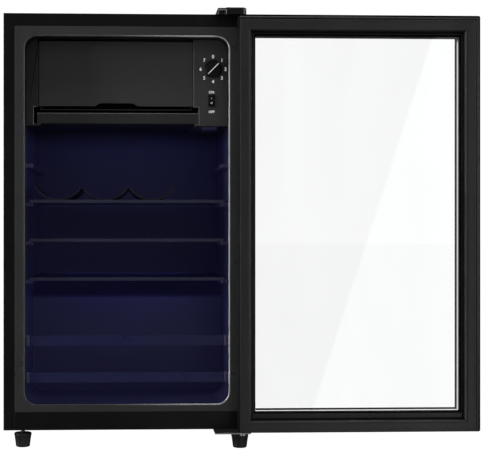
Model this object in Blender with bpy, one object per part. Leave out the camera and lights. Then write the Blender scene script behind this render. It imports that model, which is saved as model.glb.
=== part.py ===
"""Compact glass-door drinks fridge with a small freezer box, as separate pieces. Metres, +Z up.

The pieces are laid out in the cabinet's own coordinates: X across from its middle, Y back from its
front face, Z up from the floor. One empty then moves the whole to its reference point, the middle
of the footprint that the fridge covers with its door open. The door hangs on its own empty, which
lies on the hinge line and is turned to the open position.
"""

import math

import bmesh
import bpy
from mathutils import Matrix, Vector

# ---- driving dimensions -------------------------------------------------------------------------
FIT = 0.0003                # gap between two pieces that touch

CABINET_WIDTH = 0.472
CABINET_DEPTH = 0.404
CABINET_HEIGHT = 0.7975
CABINET_LIFT = 0.0335       # floor to the cabinet's underside
SHEET = 0.001               # steel wrap, rear panel and compressor space panel
BASE_SHEET = 0.0015         # bottom plate, front rail and compressor plate
FLANGE_SIDE = 0.021         # front flanges of the wrap
FLANGE_TOP = 0.024
RAIL_HEIGHT = 0.0345        # bottom front rail
RAIL_DEPTH = 0.034

BAND_SIDE = 0.0175          # gray frame round the mouth
BAND_TOP = 0.0175
BAND_BOTTOM = 0.0125
BAND_THICKNESS = 0.004
BAND_LIP = 0.0015           # rounding of its inner edge

MOUTH_RADIUS = 0.025
LINER_WALL = 0.002
LINER_DEPTH = 0.352         # front face to the liner's back wall
STEP_DEPTH = 0.150          # step over the compressor, front to back
STEP_HEIGHT = 0.202         # above the liner's floor, at the step's front
STEP_RISE = 0.020           # its top slopes up to the back wall
STEP_ROUND = 0.010          # rounding of the step's front edge
STEP_FOAM = 0.030           # insulation between the step and the compressor space
FOAM_BACK_GAP = 0.009       # space for the condenser tube behind the insulation

SHELF_SIDE_GAP = 0.0085     # mouth's side to the shelf's edge
SHELF_FRONT = 0.030
SHELF_BACK_GAP = 0.022
SHELF_PLATE = 0.0032
SHELF_RISE = 0.0387         # step to the middle of the lowest plate
SHELF_DROP = 0.3981 * CABINET_HEIGHT  # mouth's top to the middle of the highest plate
SHELF_COUNT = 3
SHELF_TRAVEL = 0.220
TRIM_WALL = 0.0011
TRIM_DEPTH = 0.0096
LEDGE_WIDTH = 0.014
LEDGE_HEIGHT = 0.008
LEDGE_FRONT = 0.045
LEDGE_BACK_GAP = 0.004
LEDGE_COUNT = 4

RACK_INSET = 0.0087         # shelf's left edge to the rack
RACK_PITCH = 0.0915
RACK_CELLS = 3
RACK_RISE = 0.0254
RACK_SHEET = 0.0025
RACK_LENGTH = 0.220

GUARD_FRONT = 0.008
GUARD_THICKNESS = 0.006
GUARD_HEIGHT = 0.0188
GUARD_RISES = (0.1326, 0.0618)  # mouth's bottom to the top of each rail

FREEZER_FRONT = 0.055       # flap's outer face
BRACKET_WIDTH = 0.0239      # side bracket beside the flap
HOUSING_WIDTH = 0.0673      # control housing beside the flap
FLAP_TOP_GAP = 0.0033
FLAP_HEIGHT = 0.127
FLAP_THICKNESS = 0.006
FLAP_AXIS_DROP = 0.0047     # pivot below the flap's top edge
FLAP_PIN_RADIUS = 0.0018
FLAP_PIN_LENGTH = 0.0034
NOTCH_INSET = 0.1094        # flap's left edge to the notch
NOTCH_WIDTH = 0.084
NOTCH_DEPTH = 0.006
NOTCH_SLOPE = 0.010

SIDE_GAP = 0.0012           # flap to the pieces beside it
SUPPORT_FRONT = 0.050       # front face of the side bracket and of the control housing
SUPPORT_DEPTH = 0.200
SUPPORT_HEIGHT = 0.1612     # height of the pieces beside the freezer
SUPPORT_STEP_DROP = 0.1325  # they are wider down to here
TRAY_HEIGHT = 0.0195
TRAY_WALL = 0.002
TRAY_TRAVEL = 0.150
TRAY_INSET_LEFT = 0.0215
TRAY_INSET_RIGHT = 0.058
TRAY_DROP = 0.003           # tray's floor below the side pieces
TRAY_LEDGE = 0.007          # how far the ledges reach under the tray
TRAY_LEDGE_THICKNESS = 0.004
TRAY_SIDE_GAP = 0.001       # tray to the control housing
TRAY_BRACKET_GAP = 0.0066   # tray to the side bracket
HOUSING_WALL = 0.002

EVAPORATOR_WALL = 0.0015
EVAPORATOR_FRONT = 0.0658
EVAPORATOR_BACK_GAP = 0.0312
EVAPORATOR_HEIGHT = 0.133
EVAPORATOR_SIDE_GAP = 0.002
HANGER_HEIGHT = 0.004
HANGER_WIDTH = 0.160
HANGER_LENGTH = 0.120

KNOB_INSET = 0.029          # mouth's right side to the knob's axis
KNOB_DROP = 0.0575          # mouth's top to the knob's axis
KNOB_RADIUS = 0.0176
KNOB_DEPTH = 0.012
KNOB_SHAFT_RADIUS = 0.003
KNOB_REST_TURN = math.radians(45)
SWITCH_INSET = 0.032
SWITCH_DROP = 0.1197
SWITCH_WIDTH = 0.0137
SWITCH_HEIGHT = 0.0235
SWITCH_BODY_DEPTH = 0.018
ROCKER_TILT = math.radians(9)
LENS_INSET = 0.0345
LENS_WIDTH = 0.030
LENS_DEPTH = 0.042
LENS_HEIGHT = 0.006

DOOR_HINGE_REVEAL = 0.007   # cabinet's side to the door's hinge edge
DOOR_HANDLE_REVEAL = 0.005
DOOR_TOP_REVEAL = 0.008
DOOR_BOTTOM_REVEAL = 0.0005
DOOR_OPEN_TURN = math.radians(180)
DOOR_FRAME_DEPTH = 0.0305
DOOR_LIP = 0.004            # front lip of the frame, over the glass
DOOR_REBATE = 0.012         # how far the glass reaches behind the lip
STILE_HINGE = 0.031         # frame widths, outer edge to the glass opening
STILE_HANDLE = 0.0385
RAIL_TOP = 0.0395
RAIL_BOTTOM = 0.0385
FRAME_EDGE = 0.002          # rounding of the frame's outer edges
PANE = 0.004
SPACER_DEPTH = 0.012
SPACER_SHOWS = 0.0017       # spacer seen inside the glass opening
SPACER_WIDTH = 0.0082
GASKET_DEPTH = 0.0105
GASKET_FACE = 0.015
GASKET_BEVEL = 0.006
GASKET_HINGE = 0.0055       # gasket's flat face in from the door's edges
GASKET_HANDLE = 0.0145
GASKET_TOP = 0.0144
GASKET_BOTTOM = 0.0064
SEAL_GAP = 0.001            # closed gasket to the cabinet's front
GRIP_LENGTH = 0.220
GRIP_DEPTH = 0.011
GRIP_WIDTH = 0.014
GRIP_DROP = 0.348           # door's top to the grip's middle

PIN_INSET = 0.0165          # hinge line in from the cabinet's side
PIN_BACK = 0.012            # hinge line behind the door's outer face
PIN_RADIUS = 0.0035
PIN_ENGAGE = 0.012
PIN_HEAD_RADIUS = 0.006
PIN_HEAD_HEIGHT = 0.004
BUSH_WALL = 0.0022
HINGE_PLATE = 0.0025
HINGE_LENGTH = 0.054
HINGE_BACK = 0.050
LOWER_HINGE_LENGTH = 0.068
HINGE_OVERHANG = 0.0125     # plate and cap in front of the hinge line
CAP_WALL = 0.0015
CAP_RISE = 0.0065           # above the cabinet's top
CAP_CLEAR = 0.0015          # above the door

FOOT_TOP_RADIUS = 0.0165
FOOT_SOLE_RADIUS = 0.0135
FOOT_CUP = 0.027
FOOT_STUD_RADIUS = 0.004
FOOT_INSET = 0.0355         # left foot in from the cabinet's side
FOOT_BACK = 0.018
RIGHT_FOOT_FORWARD = 0.006
RIGHT_FOOT_INSET = 0.020
REAR_FOOT_FROM_BACK = 0.030

COMPRESSOR_X = -0.060
COMPRESSOR_HALF_X = 0.071
COMPRESSOR_HALF_Y = 0.062
COMPRESSOR_HEIGHT = 0.158
COMPRESSOR_WALL = 0.008
GROMMET_HEIGHT = 0.016
GROMMET_RADIUS = 0.011
FOOT_PLATE = 0.0025
PAN_HEIGHT = 0.020
PIPE_RADIUS = 0.003
CONDENSER_RADIUS = 0.0025
CONDENSER_RUNS = 8
CONDENSER_TOP_GAP = 0.060
CONDENSER_BOTTOM_GAP = 0.1145
CONDENSER_SIDE_GAP = 0.046  # cabinet's side to the end of the straight runs
GLAND_RADIUS = 0.009
GLAND_HOLE = 0.007
GLAND_BORE = 0.0035
GLAND_X = 0.150

ARC_STEPS = 6               # segments in a quarter turn
ROUND_STEPS = 24            # segments in a full turn

# ---- places worked out from the dimensions ------------------------------------------------------
HALF = CABINET_WIDTH / 2
BOTTOM = CABINET_LIFT
TOP = CABINET_LIFT + CABINET_HEIGHT
MOUTH_X = HALF - FLANGE_SIDE - BAND_SIDE
MOUTH_TOP = TOP - FLANGE_TOP - BAND_TOP
MOUTH_BOTTOM = BOTTOM + RAIL_HEIGHT + BAND_BOTTOM
INSIDE_X = HALF - SHEET - FIT
LINER_FRONT = BAND_THICKNESS + FIT
STEP_FRONT = LINER_DEPTH - STEP_DEPTH
STEP_TOP = MOUTH_BOTTOM + STEP_HEIGHT
BAY_FRONT = STEP_FRONT + LINER_WALL + STEP_FOAM
BAY_TOP = STEP_TOP - LINER_WALL - STEP_FOAM
REAR = CABINET_DEPTH
FOAM_BACK = REAR - SHEET - FOAM_BACK_GAP
CEILING = MOUTH_TOP - FIT

SHELF_HALF_WIDTH = MOUTH_X - SHELF_SIDE_GAP
SHELF_BACK = LINER_DEPTH - SHELF_BACK_GAP
LOWEST_SHELF = STEP_TOP + SHELF_RISE
SHELF_PITCH = (MOUTH_TOP - SHELF_DROP - LOWEST_SHELF) / (SHELF_COUNT - 1)
SHELF_HEIGHTS = [LOWEST_SHELF + SHELF_PITCH * i for i in range(SHELF_COUNT)]

FLAP_LEFT = -MOUTH_X + BRACKET_WIDTH + SIDE_GAP
FLAP_RIGHT = MOUTH_X - HOUSING_WIDTH - SIDE_GAP
FLAP_TOP = MOUTH_TOP - FLAP_TOP_GAP
NOTCH_LEFT = FLAP_LEFT + NOTCH_INSET
NOTCH_RIGHT = NOTCH_LEFT + NOTCH_WIDTH
SUPPORT_BOTTOM = CEILING - SUPPORT_HEIGHT
SUPPORT_STEP = MOUTH_TOP - SUPPORT_STEP_DROP
TRAY_LEFT = -MOUTH_X + TRAY_INSET_LEFT
TRAY_RIGHT = MOUTH_X - TRAY_INSET_RIGHT
TRAY_FLOOR = SUPPORT_BOTTOM - TRAY_DROP
TRAY_TOP = TRAY_FLOOR + TRAY_HEIGHT
KNOB_X = MOUTH_X - KNOB_INSET
KNOB_Z = MOUTH_TOP - KNOB_DROP
SWITCH_X = MOUTH_X - SWITCH_INSET
SWITCH_Z = MOUTH_TOP - SWITCH_DROP
LENS_X = MOUTH_X - LENS_INSET
FLAP_AXIS = Vector((0, FREEZER_FRONT + FLAP_THICKNESS / 2, FLAP_TOP - FLAP_AXIS_DROP))
KNOB_AXIS = Vector((KNOB_X, SUPPORT_FRONT, KNOB_Z))
SWITCH_AXIS = Vector((SWITCH_X, SUPPORT_FRONT, SWITCH_Z))

DOOR_INNER = -SEAL_GAP - GASKET_DEPTH - FIT
DOOR_OUTER = DOOR_INNER - DOOR_FRAME_DEPTH
DOOR_RIGHT = HALF - DOOR_HINGE_REVEAL
DOOR_LEFT = -HALF + DOOR_HANDLE_REVEAL
DOOR_BOTTOM = BOTTOM + DOOR_BOTTOM_REVEAL
DOOR_TOP = TOP - DOOR_TOP_REVEAL
GRIP_MIDDLE = DOOR_TOP - GRIP_DROP
PIN = Vector((HALF - PIN_INSET, DOOR_OUTER + PIN_BACK, 0))
OPEN_EDGE = 2 * PIN.x - DOOR_LEFT
OPEN_FACE = 2 * PIN.y + SEAL_GAP
ORIGIN = Vector(((OPEN_EDGE - HALF) / 2, (REAR + OPEN_FACE) / 2, 0))


# ---- materials ----------------------------------------------------------------------------------
def material(name, colour, roughness, metallic=0.0, alpha=1.0):
    found = bpy.data.materials.get(name)
    if found:
        return found
    made = bpy.data.materials.new(name)
    made.use_nodes = True
    shader = made.node_tree.nodes["Principled BSDF"]
    shader.inputs["Base Color"].default_value = (*colour, 1)
    shader.inputs["Roughness"].default_value = roughness
    shader.inputs["Metallic"].default_value = metallic
    shader.inputs["Alpha"].default_value = alpha
    return made


BLACK_STEEL = ("black_steel", (0.012, 0.012, 0.013), 0.4)
GALVANISED = ("galvanised_steel", (0.42, 0.43, 0.44), 0.45, 1.0)
GRAY_PLASTIC = ("gray_plastic", (0.032, 0.033, 0.036), 0.45)
DARK_PLASTIC = ("dark_plastic", (0.014, 0.014, 0.015), 0.5)
LINER_PLASTIC = ("liner_plastic", (0.05, 0.05, 0.07), 0.4)
FOAM = ("foam", (0.75, 0.66, 0.36), 0.9)
ALUMINIUM = ("aluminium", (0.6, 0.61, 0.62), 0.35, 1.0)
ZINC = ("zinc", (0.5, 0.5, 0.5), 0.35, 1.0)
GLASS = ("glass", (0.9, 0.93, 0.93), 0.05, 0.0, 0.3)
SHELF_GLASS = ("shelf_glass", (0.3, 0.3, 0.4), 0.1, 0.0, 0.5)
RUBBER = ("rubber", (0.02, 0.02, 0.02), 0.7)
GASKET = ("gasket", (0.035, 0.035, 0.037), 0.55)
COPPER = ("copper", (0.7, 0.32, 0.18), 0.35, 1.0)
LAMP = ("lamp_lens", (0.8, 0.85, 1.0), 0.3)


# ---- building blocks ----------------------------------------------------------------------------
ANCHORS = {}


def anchor(name, place, turn=0.0):
    """An empty on a joint's axis; pieces hung on it are still given in cabinet coordinates."""
    empty = bpy.data.objects.new(name, None)
    empty.empty_display_size = 0.03
    bpy.context.scene.collection.objects.link(empty)
    if "cabinet" in ANCHORS:
        empty.parent = ANCHORS["cabinet"][0]
    empty.location = place
    empty.rotation_euler.z = turn
    ANCHORS[name] = (empty, Vector(place))
    return empty


def add_piece(name, data, look, hang="cabinet", origin=None):
    """Places a mesh or curve, given in cabinet coordinates, under the anchor it hangs on."""
    empty, base = ANCHORS[hang]
    base = Vector((0, 0, 0)) if hang == "cabinet" else base
    origin = base if origin is None else Vector(origin)
    if isinstance(data, bmesh.types.BMesh):
        bmesh.ops.recalc_face_normals(data, faces=data.faces)
        mesh = bpy.data.meshes.new(name)
        data.to_mesh(mesh)
        data.free()
        data = mesh
    data.transform(Matrix.Translation(-origin))
    data.materials.append(material(*look))
    piece = bpy.data.objects.new(name, data)
    bpy.context.scene.collection.objects.link(piece)
    piece.parent = empty
    piece.location = origin - base
    return piece


def smooth(piece, angle=math.radians(40)):
    piece.data.shade_smooth()
    piece.data.set_sharp_from_angle(angle=angle)
    return piece


def box(low, high):
    low, high = Vector(low), Vector(high)
    shape = bmesh.new()
    middle = Matrix.Translation((low + high) / 2)
    size = Matrix.Diagonal((*(high - low), 1))
    bmesh.ops.create_cube(shape, size=1.0, matrix=middle @ size)
    return shape


def boxes(corners):
    """Several separate boxes in one mesh, for cutting or joining in one go."""
    shape = bmesh.new()
    for low, high in corners:
        low, high = Vector(low), Vector(high)
        middle = Matrix.Translation((low + high) / 2)
        size = Matrix.Diagonal((*(high - low), 1))
        bmesh.ops.create_cube(shape, size=1.0, matrix=middle @ size)
    return shape


def lift_point(axis, along, u, v):
    if axis == "X":
        return Vector((along, u, v))
    if axis == "Y":
        return Vector((u, along, v))
    return Vector((u, v, along))


def loops(sections, axis, closed_path=False):
    """Joins outlines of equal length, each at its own place along the axis.

    With closed_path the last outline joins the first, which makes a ring; else both ends are capped.
    """
    shape = bmesh.new()
    rings = [[shape.verts.new(lift_point(axis, at, u, v)) for u, v in outline] for outline, at in sections]
    count = len(rings[0])
    steps = len(rings) if closed_path else len(rings) - 1
    for i in range(steps):
        one, two = rings[i], rings[(i + 1) % len(rings)]
        for k in range(count):
            n = (k + 1) % count
            shape.faces.new((one[k], one[n], two[n], two[k]))
    if not closed_path:
        shape.faces.new(rings[0])
        shape.faces.new(rings[-1])
    return shape


def prism(outline, axis, start, end):
    return loops([(outline, start), (outline, end)], axis)


def rounded(left, low, right, high, radius):
    """Outline of a rectangle with rounded corners, anticlockwise from its lower right corner."""
    corners = (
        (right - radius, low + radius, -90),
        (right - radius, high - radius, 0),
        (left + radius, high - radius, 90),
        (left + radius, low + radius, 180),
    )
    points = []
    for x, z, start in corners:
        for i in range(ARC_STEPS + 1):
            turn = math.radians(start + 90 * i / ARC_STEPS)
            points.append((x + radius * math.cos(turn), z + radius * math.sin(turn)))
    return points


def turned(profile, place, axis="Z", stretch=1.0, steps=ROUND_STEPS):
    """A solid of revolution. The profile is (radius, height) and may start and end on the axis."""
    shape = bmesh.new()
    place = Vector(place)
    rings = []
    for radius, height in profile:
        if radius == 0:
            rings.append([shape.verts.new(lift_point(axis, height, 0, 0) + place)])
            continue
        ring = []
        for k in range(steps):
            turn = 2 * math.pi * k / steps
            u, v = radius * math.cos(turn) * stretch, radius * math.sin(turn)
            ring.append(shape.verts.new(lift_point(axis, height, u, v) + place))
        rings.append(ring)
    open_path = len(rings[0]) == 1
    pairs = list(zip(rings, rings[1:]))
    if not open_path:
        pairs.append((rings[-1], rings[0]))
    for one, two in pairs:
        for k in range(steps):
            n = (k + 1) % steps
            if len(one) == 1:
                shape.faces.new((one[0], two[k], two[n]))
            elif len(two) == 1:
                shape.faces.new((one[k], one[n], two[0]))
            else:
                shape.faces.new((one[k], one[n], two[n], two[k]))
    return shape


def pipe(name, points, radius, look, hang="cabinet"):
    """A round pipe along a smooth curve through the points, closed at both ends."""
    data = bpy.data.curves.new(name, "CURVE")
    data.dimensions = "3D"
    data.bevel_depth = radius
    data.bevel_resolution = 2
    data.use_fill_caps = True
    data.resolution_u = data.render_resolution_u = 4
    spline = data.splines.new("BEZIER")
    spline.bezier_points.add(len(points) - 1)
    for point, place in zip(spline.bezier_points, points):
        point.co = place
        point.handle_left_type = point.handle_right_type = "AUTO"
    return add_piece(name, data, look, hang)


def tool(name, shape, hang="cabinet"):
    """A hidden solid that cuts or joins another piece."""
    piece = add_piece(name, shape, DARK_PLASTIC, hang)
    piece.hide_render = True
    piece.display_type = "WIRE"
    return piece


def combine(piece, other, operation):
    change = piece.modifiers.new(operation.lower(), "BOOLEAN")
    change.operation = operation
    change.solver = "EXACT"
    change.object = other
    return piece


def cut(piece, other):
    return combine(piece, other, "DIFFERENCE")


def join(piece, other):
    return combine(piece, other, "UNION")


def hole(name, place, radius, axis, start, end, hang="cabinet"):
    """A round cutter along an axis, from start to end."""
    profile = [(0, start), (radius, start), (radius, end), (0, end)]
    flat = Vector(place)
    flat["XYZ".index(axis)] = 0
    return tool(name, turned(profile, flat, axis), hang)


# ---- cabinet ------------------------------------------------------------------------------------
def cabinet_shell():
    shell = add_piece("cabinet_shell", box((-HALF, 0, BOTTOM), (HALF, REAR, TOP)), BLACK_STEEL)
    inner = box((-HALF + SHEET, SHEET, BOTTOM - 0.01), (HALF - SHEET, REAR + 0.01, TOP - SHEET))
    cut(shell, tool("cut_shell_inside", inner))
    window = box(
        (-HALF + FLANGE_SIDE, -0.01, BOTTOM - 0.02),
        (HALF - FLANGE_SIDE, SHEET + 0.005, TOP - FLANGE_TOP),
    )
    cut(shell, tool("cut_shell_window", window))


def bottom_front_rail():
    """Rail under the mouth, with a wider foot that runs back under the insulation."""
    reach = HALF - FLANGE_SIDE - FIT
    face = box((-reach, 0, BOTTOM), (reach, BASE_SHEET, BOTTOM + RAIL_HEIGHT))
    rail = add_piece("bottom_front_rail", face, BLACK_STEEL)
    back = SHEET + FIT
    leg = box((-INSIDE_X, back, BOTTOM), (INSIDE_X, RAIL_DEPTH, BOTTOM + BASE_SHEET))
    join(rail, tool("join_rail_leg", leg))


def bottom_plate():
    low = (-INSIDE_X, RAIL_DEPTH + FIT, BOTTOM)
    high = (INSIDE_X, BAY_FRONT - FIT, BOTTOM + BASE_SHEET)
    add_piece("bottom_plate", box(low, high), GALVANISED)


def rear_panel():
    low = (-INSIDE_X, REAR - SHEET, BAY_TOP + FIT)
    high = (INSIDE_X, REAR, TOP - SHEET - FIT)
    add_piece("rear_panel", box(low, high), GALVANISED)


def compressor_space_panel():
    back = REAR
    outline = [
        (BAY_FRONT, BOTTOM),
        (BAY_FRONT + SHEET, BOTTOM),
        (BAY_FRONT + SHEET, BAY_TOP - SHEET),
        (back, BAY_TOP - SHEET),
        (back, BAY_TOP),
        (BAY_FRONT, BAY_TOP),
    ]
    add_piece("compressor_space_panel", prism(outline, "X", -INSIDE_X, INSIDE_X), GALVANISED)


def compressor_plate():
    """Plate across the bottom of the compressor space, with an upstand along the back."""
    front = BAY_FRONT + SHEET + FIT
    upstand = 0.028
    outline = [
        (front, BOTTOM),
        (REAR - 0.002, BOTTOM),
        (REAR - 0.002, BOTTOM + upstand),
        (REAR - 0.002 - BASE_SHEET, BOTTOM + upstand),
        (REAR - 0.002 - BASE_SHEET, BOTTOM + BASE_SHEET),
        (front, BOTTOM + BASE_SHEET),
    ]
    plate = add_piece("compressor_plate", prism(outline, "X", -INSIDE_X, INSIDE_X), GALVANISED)
    height = BOTTOM + upstand / 2 + BASE_SHEET / 2
    middle = (GLAND_X, 0, height)
    cut(plate, hole("cut_gland_hole", middle, GLAND_HOLE, "Y", REAR - 0.02, REAR + 0.01))
    face = REAR - 0.002
    profile = [
        (GLAND_BORE, face + 0.002),
        (GLAND_RADIUS, face + 0.002),
        (GLAND_RADIUS, face + FIT),
        (GLAND_HOLE - FIT, face + FIT),
        (GLAND_HOLE - FIT, face - BASE_SHEET - FIT),
        (GLAND_RADIUS, face - BASE_SHEET - FIT),
        (GLAND_RADIUS, face - BASE_SHEET - 0.003),
        (GLAND_BORE, face - BASE_SHEET - 0.003),
    ]
    smooth(add_piece("cord_gland", turned(profile, middle, "Y"), RUBBER))


def mouth_outline(grow=0.0):
    return rounded(
        -MOUTH_X - grow,
        MOUTH_BOTTOM - grow,
        MOUTH_X + grow,
        MOUTH_TOP + grow,
        MOUTH_RADIUS + grow,
    )


def step_block(shrink):
    """The space behind the liner's step, drawn in from its faces by shrink, seen from the side."""
    front = STEP_FRONT + shrink
    slope = STEP_RISE / STEP_DEPTH
    far = LINER_DEPTH + 0.05
    top = STEP_TOP - shrink
    radius = STEP_ROUND - shrink
    points = [(front, BOTTOM - 0.05), (far, BOTTOM - 0.05), (far, top + slope * (far - front))]
    lean = math.atan(slope)
    middle = Vector((front + radius, top + slope * radius - radius / math.cos(lean)))
    for i in range(ARC_STEPS + 1):
        turn = math.pi / 2 + lean + (math.pi / 2 - lean) * i / ARC_STEPS
        points.append((middle.x + radius * math.cos(turn), middle.y + radius * math.sin(turn)))
    return points


def cavity(name, grow, shrink):
    """The liner's mouth carried back to its rear wall, with the step left standing."""
    shape = prism(mouth_outline(grow), "Y", -0.02, LINER_DEPTH + grow)
    space = tool(name, shape)
    step = prism(step_block(shrink), "X", -HALF, HALF)
    return cut(space, tool(name + "_step", step))


def ledge_boxes():
    low_edge = LOWEST_SHELF - SHELF_PLATE / 2 - FIT - LEDGE_HEIGHT
    shapes = []
    for level in range(LEDGE_COUNT):
        base = low_edge + SHELF_PITCH * level
        for side in (-1, 1):
            inner = side * (MOUTH_X - LEDGE_WIDTH)
            outer = side * (MOUTH_X + LINER_WALL / 2)
            low = (min(inner, outer), LEDGE_FRONT, base)
            high = (max(inner, outer), LINER_DEPTH - LEDGE_BACK_GAP, base + LEDGE_HEIGHT)
            shapes.append((low, high))
    return shapes


def inner_liner():
    outer = prism(mouth_outline(LINER_WALL), "Y", LINER_FRONT, LINER_DEPTH + LINER_WALL)
    liner = add_piece("inner_liner", outer, LINER_PLASTIC)
    behind = prism(step_block(LINER_WALL), "X", -HALF - 0.02, HALF + 0.02)
    cut(liner, tool("cut_behind_step", behind))
    cut(liner, cavity("cut_cavity", 0.0, 0.0))
    join(liner, tool("join_ledges", boxes(ledge_boxes())))


def cabinet_foam():
    low = (-INSIDE_X, LINER_FRONT, BOTTOM + BASE_SHEET + FIT)
    high = (INSIDE_X, FOAM_BACK, TOP - SHEET - FIT)
    foam = add_piece("cabinet_foam", box(low, high), FOAM)
    grow = LINER_WALL + FIT
    cut(foam, cavity("cut_liner_space", grow, grow))
    bay = box((-HALF, BAY_FRONT - FIT, BOTTOM - 0.02), (HALF, REAR + 0.02, BAY_TOP + FIT))
    cut(foam, tool("cut_compressor_space", bay))


def mouth_frame():
    """Gray frame round the mouth, with a rounded inner lip."""
    edge = 0.0008
    outer_x = HALF - FLANGE_SIDE - FIT
    outer_top = TOP - FLANGE_TOP - FIT
    outer_low = BOTTOM + RAIL_HEIGHT + FIT
    outer = rounded(-outer_x, outer_low, outer_x, outer_top, edge)
    sections = [(outer, BAND_THICKNESS), (outer, 0.0), (mouth_outline(BAND_LIP), 0.0)]
    for i in range(1, 4):
        turn = math.radians(30 * i)
        grow = BAND_LIP * (1 - math.sin(turn))
        sections.append((mouth_outline(grow), BAND_LIP * (1 - math.cos(turn))))
    sections.append((mouth_outline(), BAND_THICKNESS))
    smooth(add_piece("mouth_frame", loops(sections, "Y", closed_path=True), GRAY_PLASTIC))


def guard_rails():
    reach = MOUTH_X - FIT
    names = ("guard_rail_upper", "guard_rail_lower")
    for name, rise in zip(names, GUARD_RISES):
        top = MOUTH_BOTTOM + rise
        low = (-reach, GUARD_FRONT, top - GUARD_HEIGHT)
        high = (reach, GUARD_FRONT + GUARD_THICKNESS, top)
        add_piece(name, box(low, high), LINER_PLASTIC)


# ---- shelves ------------------------------------------------------------------------------------
def shelf(name, height):
    place = (0, SHELF_FRONT, height)
    half = SHELF_PLATE / 2
    slot = half + FIT
    front = SHELF_FRONT
    outline = [
        (front, height - slot - TRIM_WALL),
        (front + TRIM_DEPTH, height - slot - TRIM_WALL),
        (front + TRIM_DEPTH, height - slot),
        (front + TRIM_WALL, height - slot),
        (front + TRIM_WALL, height + slot),
        (front + TRIM_DEPTH, height + slot),
        (front + TRIM_DEPTH, height + slot + TRIM_WALL),
        (front, height + slot + TRIM_WALL),
    ]
    trim = prism(outline, "X", -SHELF_HALF_WIDTH, SHELF_HALF_WIDTH)
    add_piece("shelf_trim_" + name, trim, DARK_PLASTIC, origin=place)
    low = (-SHELF_HALF_WIDTH, front + TRIM_WALL + FIT, height - half)
    high = (SHELF_HALF_WIDTH, SHELF_BACK, height + half)
    add_piece("shelf_plate_" + name, box(low, high), SHELF_GLASS, origin=place)


def shelves():
    for name, height in zip(("lower", "middle", "upper"), SHELF_HEIGHTS):
        shelf(name, height)


def wave_line():
    """Middle line of the rack: one shallow arc for each bottle, meeting in peaks."""
    half = RACK_PITCH / 2
    radius = (half**2 + RACK_RISE**2) / (2 * RACK_RISE)
    reach = math.asin(half / radius)
    steps = 8
    points = []
    for cell in range(RACK_CELLS):
        middle = -SHELF_HALF_WIDTH + RACK_INSET + RACK_PITCH * (cell + 0.5)
        for i in range(steps + (cell == RACK_CELLS - 1)):
            turn = -reach + 2 * reach * i / steps
            points.append((middle + radius * math.sin(turn), radius * (1 - math.cos(turn))))
    return points


def offset_line(points, distance):
    """The line moved sideways: at a peak the mean of its two neighbours' directions is used."""
    moved = []
    for i, (x, z) in enumerate(points):
        ahead = points[min(i + 1, len(points) - 1)]
        behind = points[max(i - 1, 0)]
        along = Vector((ahead[0] - behind[0], ahead[1] - behind[1])).normalized()
        moved.append((x - along.y * distance, z + along.x * distance))
    return moved


def bottle_rack():
    base = SHELF_HEIGHTS[-1] + SHELF_PLATE / 2 + FIT + RACK_SHEET / 2
    line = wave_line()
    above = offset_line(line, RACK_SHEET / 2)
    below = offset_line(line, -RACK_SHEET / 2)
    outline = [(x, z + base) for x, z in above + below[::-1]]
    front = SHELF_FRONT + TRIM_DEPTH + FIT
    rack = add_piece(
        "bottle_rack",
        prism(outline, "Y", front, front + RACK_LENGTH),
        DARK_PLASTIC,
        origin=(0, SHELF_FRONT, SHELF_HEIGHTS[-1]),
    )
    smooth(rack)


# ---- freezer box, flap, tray and control housing ------------------------------------------------
def corner_arc(side):
    """The liner's upper corner, as the pieces beside the freezer follow it, from side to ceiling."""
    radius = MOUTH_RADIUS
    points = []
    for i in range(ARC_STEPS + 1):
        turn = math.radians(90 * i / ARC_STEPS)
        x = MOUTH_X - FIT - radius + radius * math.cos(turn)
        points.append((side * x, CEILING - radius + radius * math.sin(turn)))
    return points


def side_outline(side, wide_x, narrow_x, tray_x):
    """Outline of a piece that fills one upper corner, with a ledge under the tray's edge."""
    ledge_top = TRAY_FLOOR - FIT
    ledge_low = ledge_top - TRAY_LEDGE_THICKNESS
    ledge_x = tray_x + side * -TRAY_LEDGE
    return corner_arc(side) + [
        (wide_x, CEILING),
        (wide_x, SUPPORT_STEP),
        (narrow_x, SUPPORT_STEP),
        (narrow_x, ledge_top),
        (ledge_x, ledge_top),
        (ledge_x, ledge_low),
        (side * (MOUTH_X - FIT), ledge_low),
    ]


def freezer_side_bracket():
    wide = FLAP_LEFT - SIDE_GAP
    narrow = TRAY_LEFT - TRAY_BRACKET_GAP
    outline = side_outline(-1, wide, narrow, TRAY_LEFT)
    shape = prism(outline, "Y", SUPPORT_FRONT, SUPPORT_FRONT + SUPPORT_DEPTH)
    bracket = add_piece("freezer_side_bracket", shape, DARK_PLASTIC)
    start = wide - FLAP_PIN_LENGTH - 0.001
    cut(bracket, hole("cut_pin_left", FLAP_AXIS, FLAP_PIN_RADIUS + FIT, "X", start, wide + 0.01))


def inset_outline(outline, distance):
    """A closed outline moved inwards; its points run anticlockwise."""
    inner = []
    count = len(outline)
    for i in range(count):
        here = Vector(outline[i])
        before = (here - Vector(outline[i - 1])).normalized()
        after = (Vector(outline[(i + 1) % count]) - here).normalized()
        normal_before = Vector((-before.y, before.x))
        normal_after = Vector((-after.y, after.x))
        middle = (normal_before + normal_after).normalized()
        inner.append(tuple(here + middle * distance / max(middle.dot(normal_after), 0.2)))
    return inner


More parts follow.
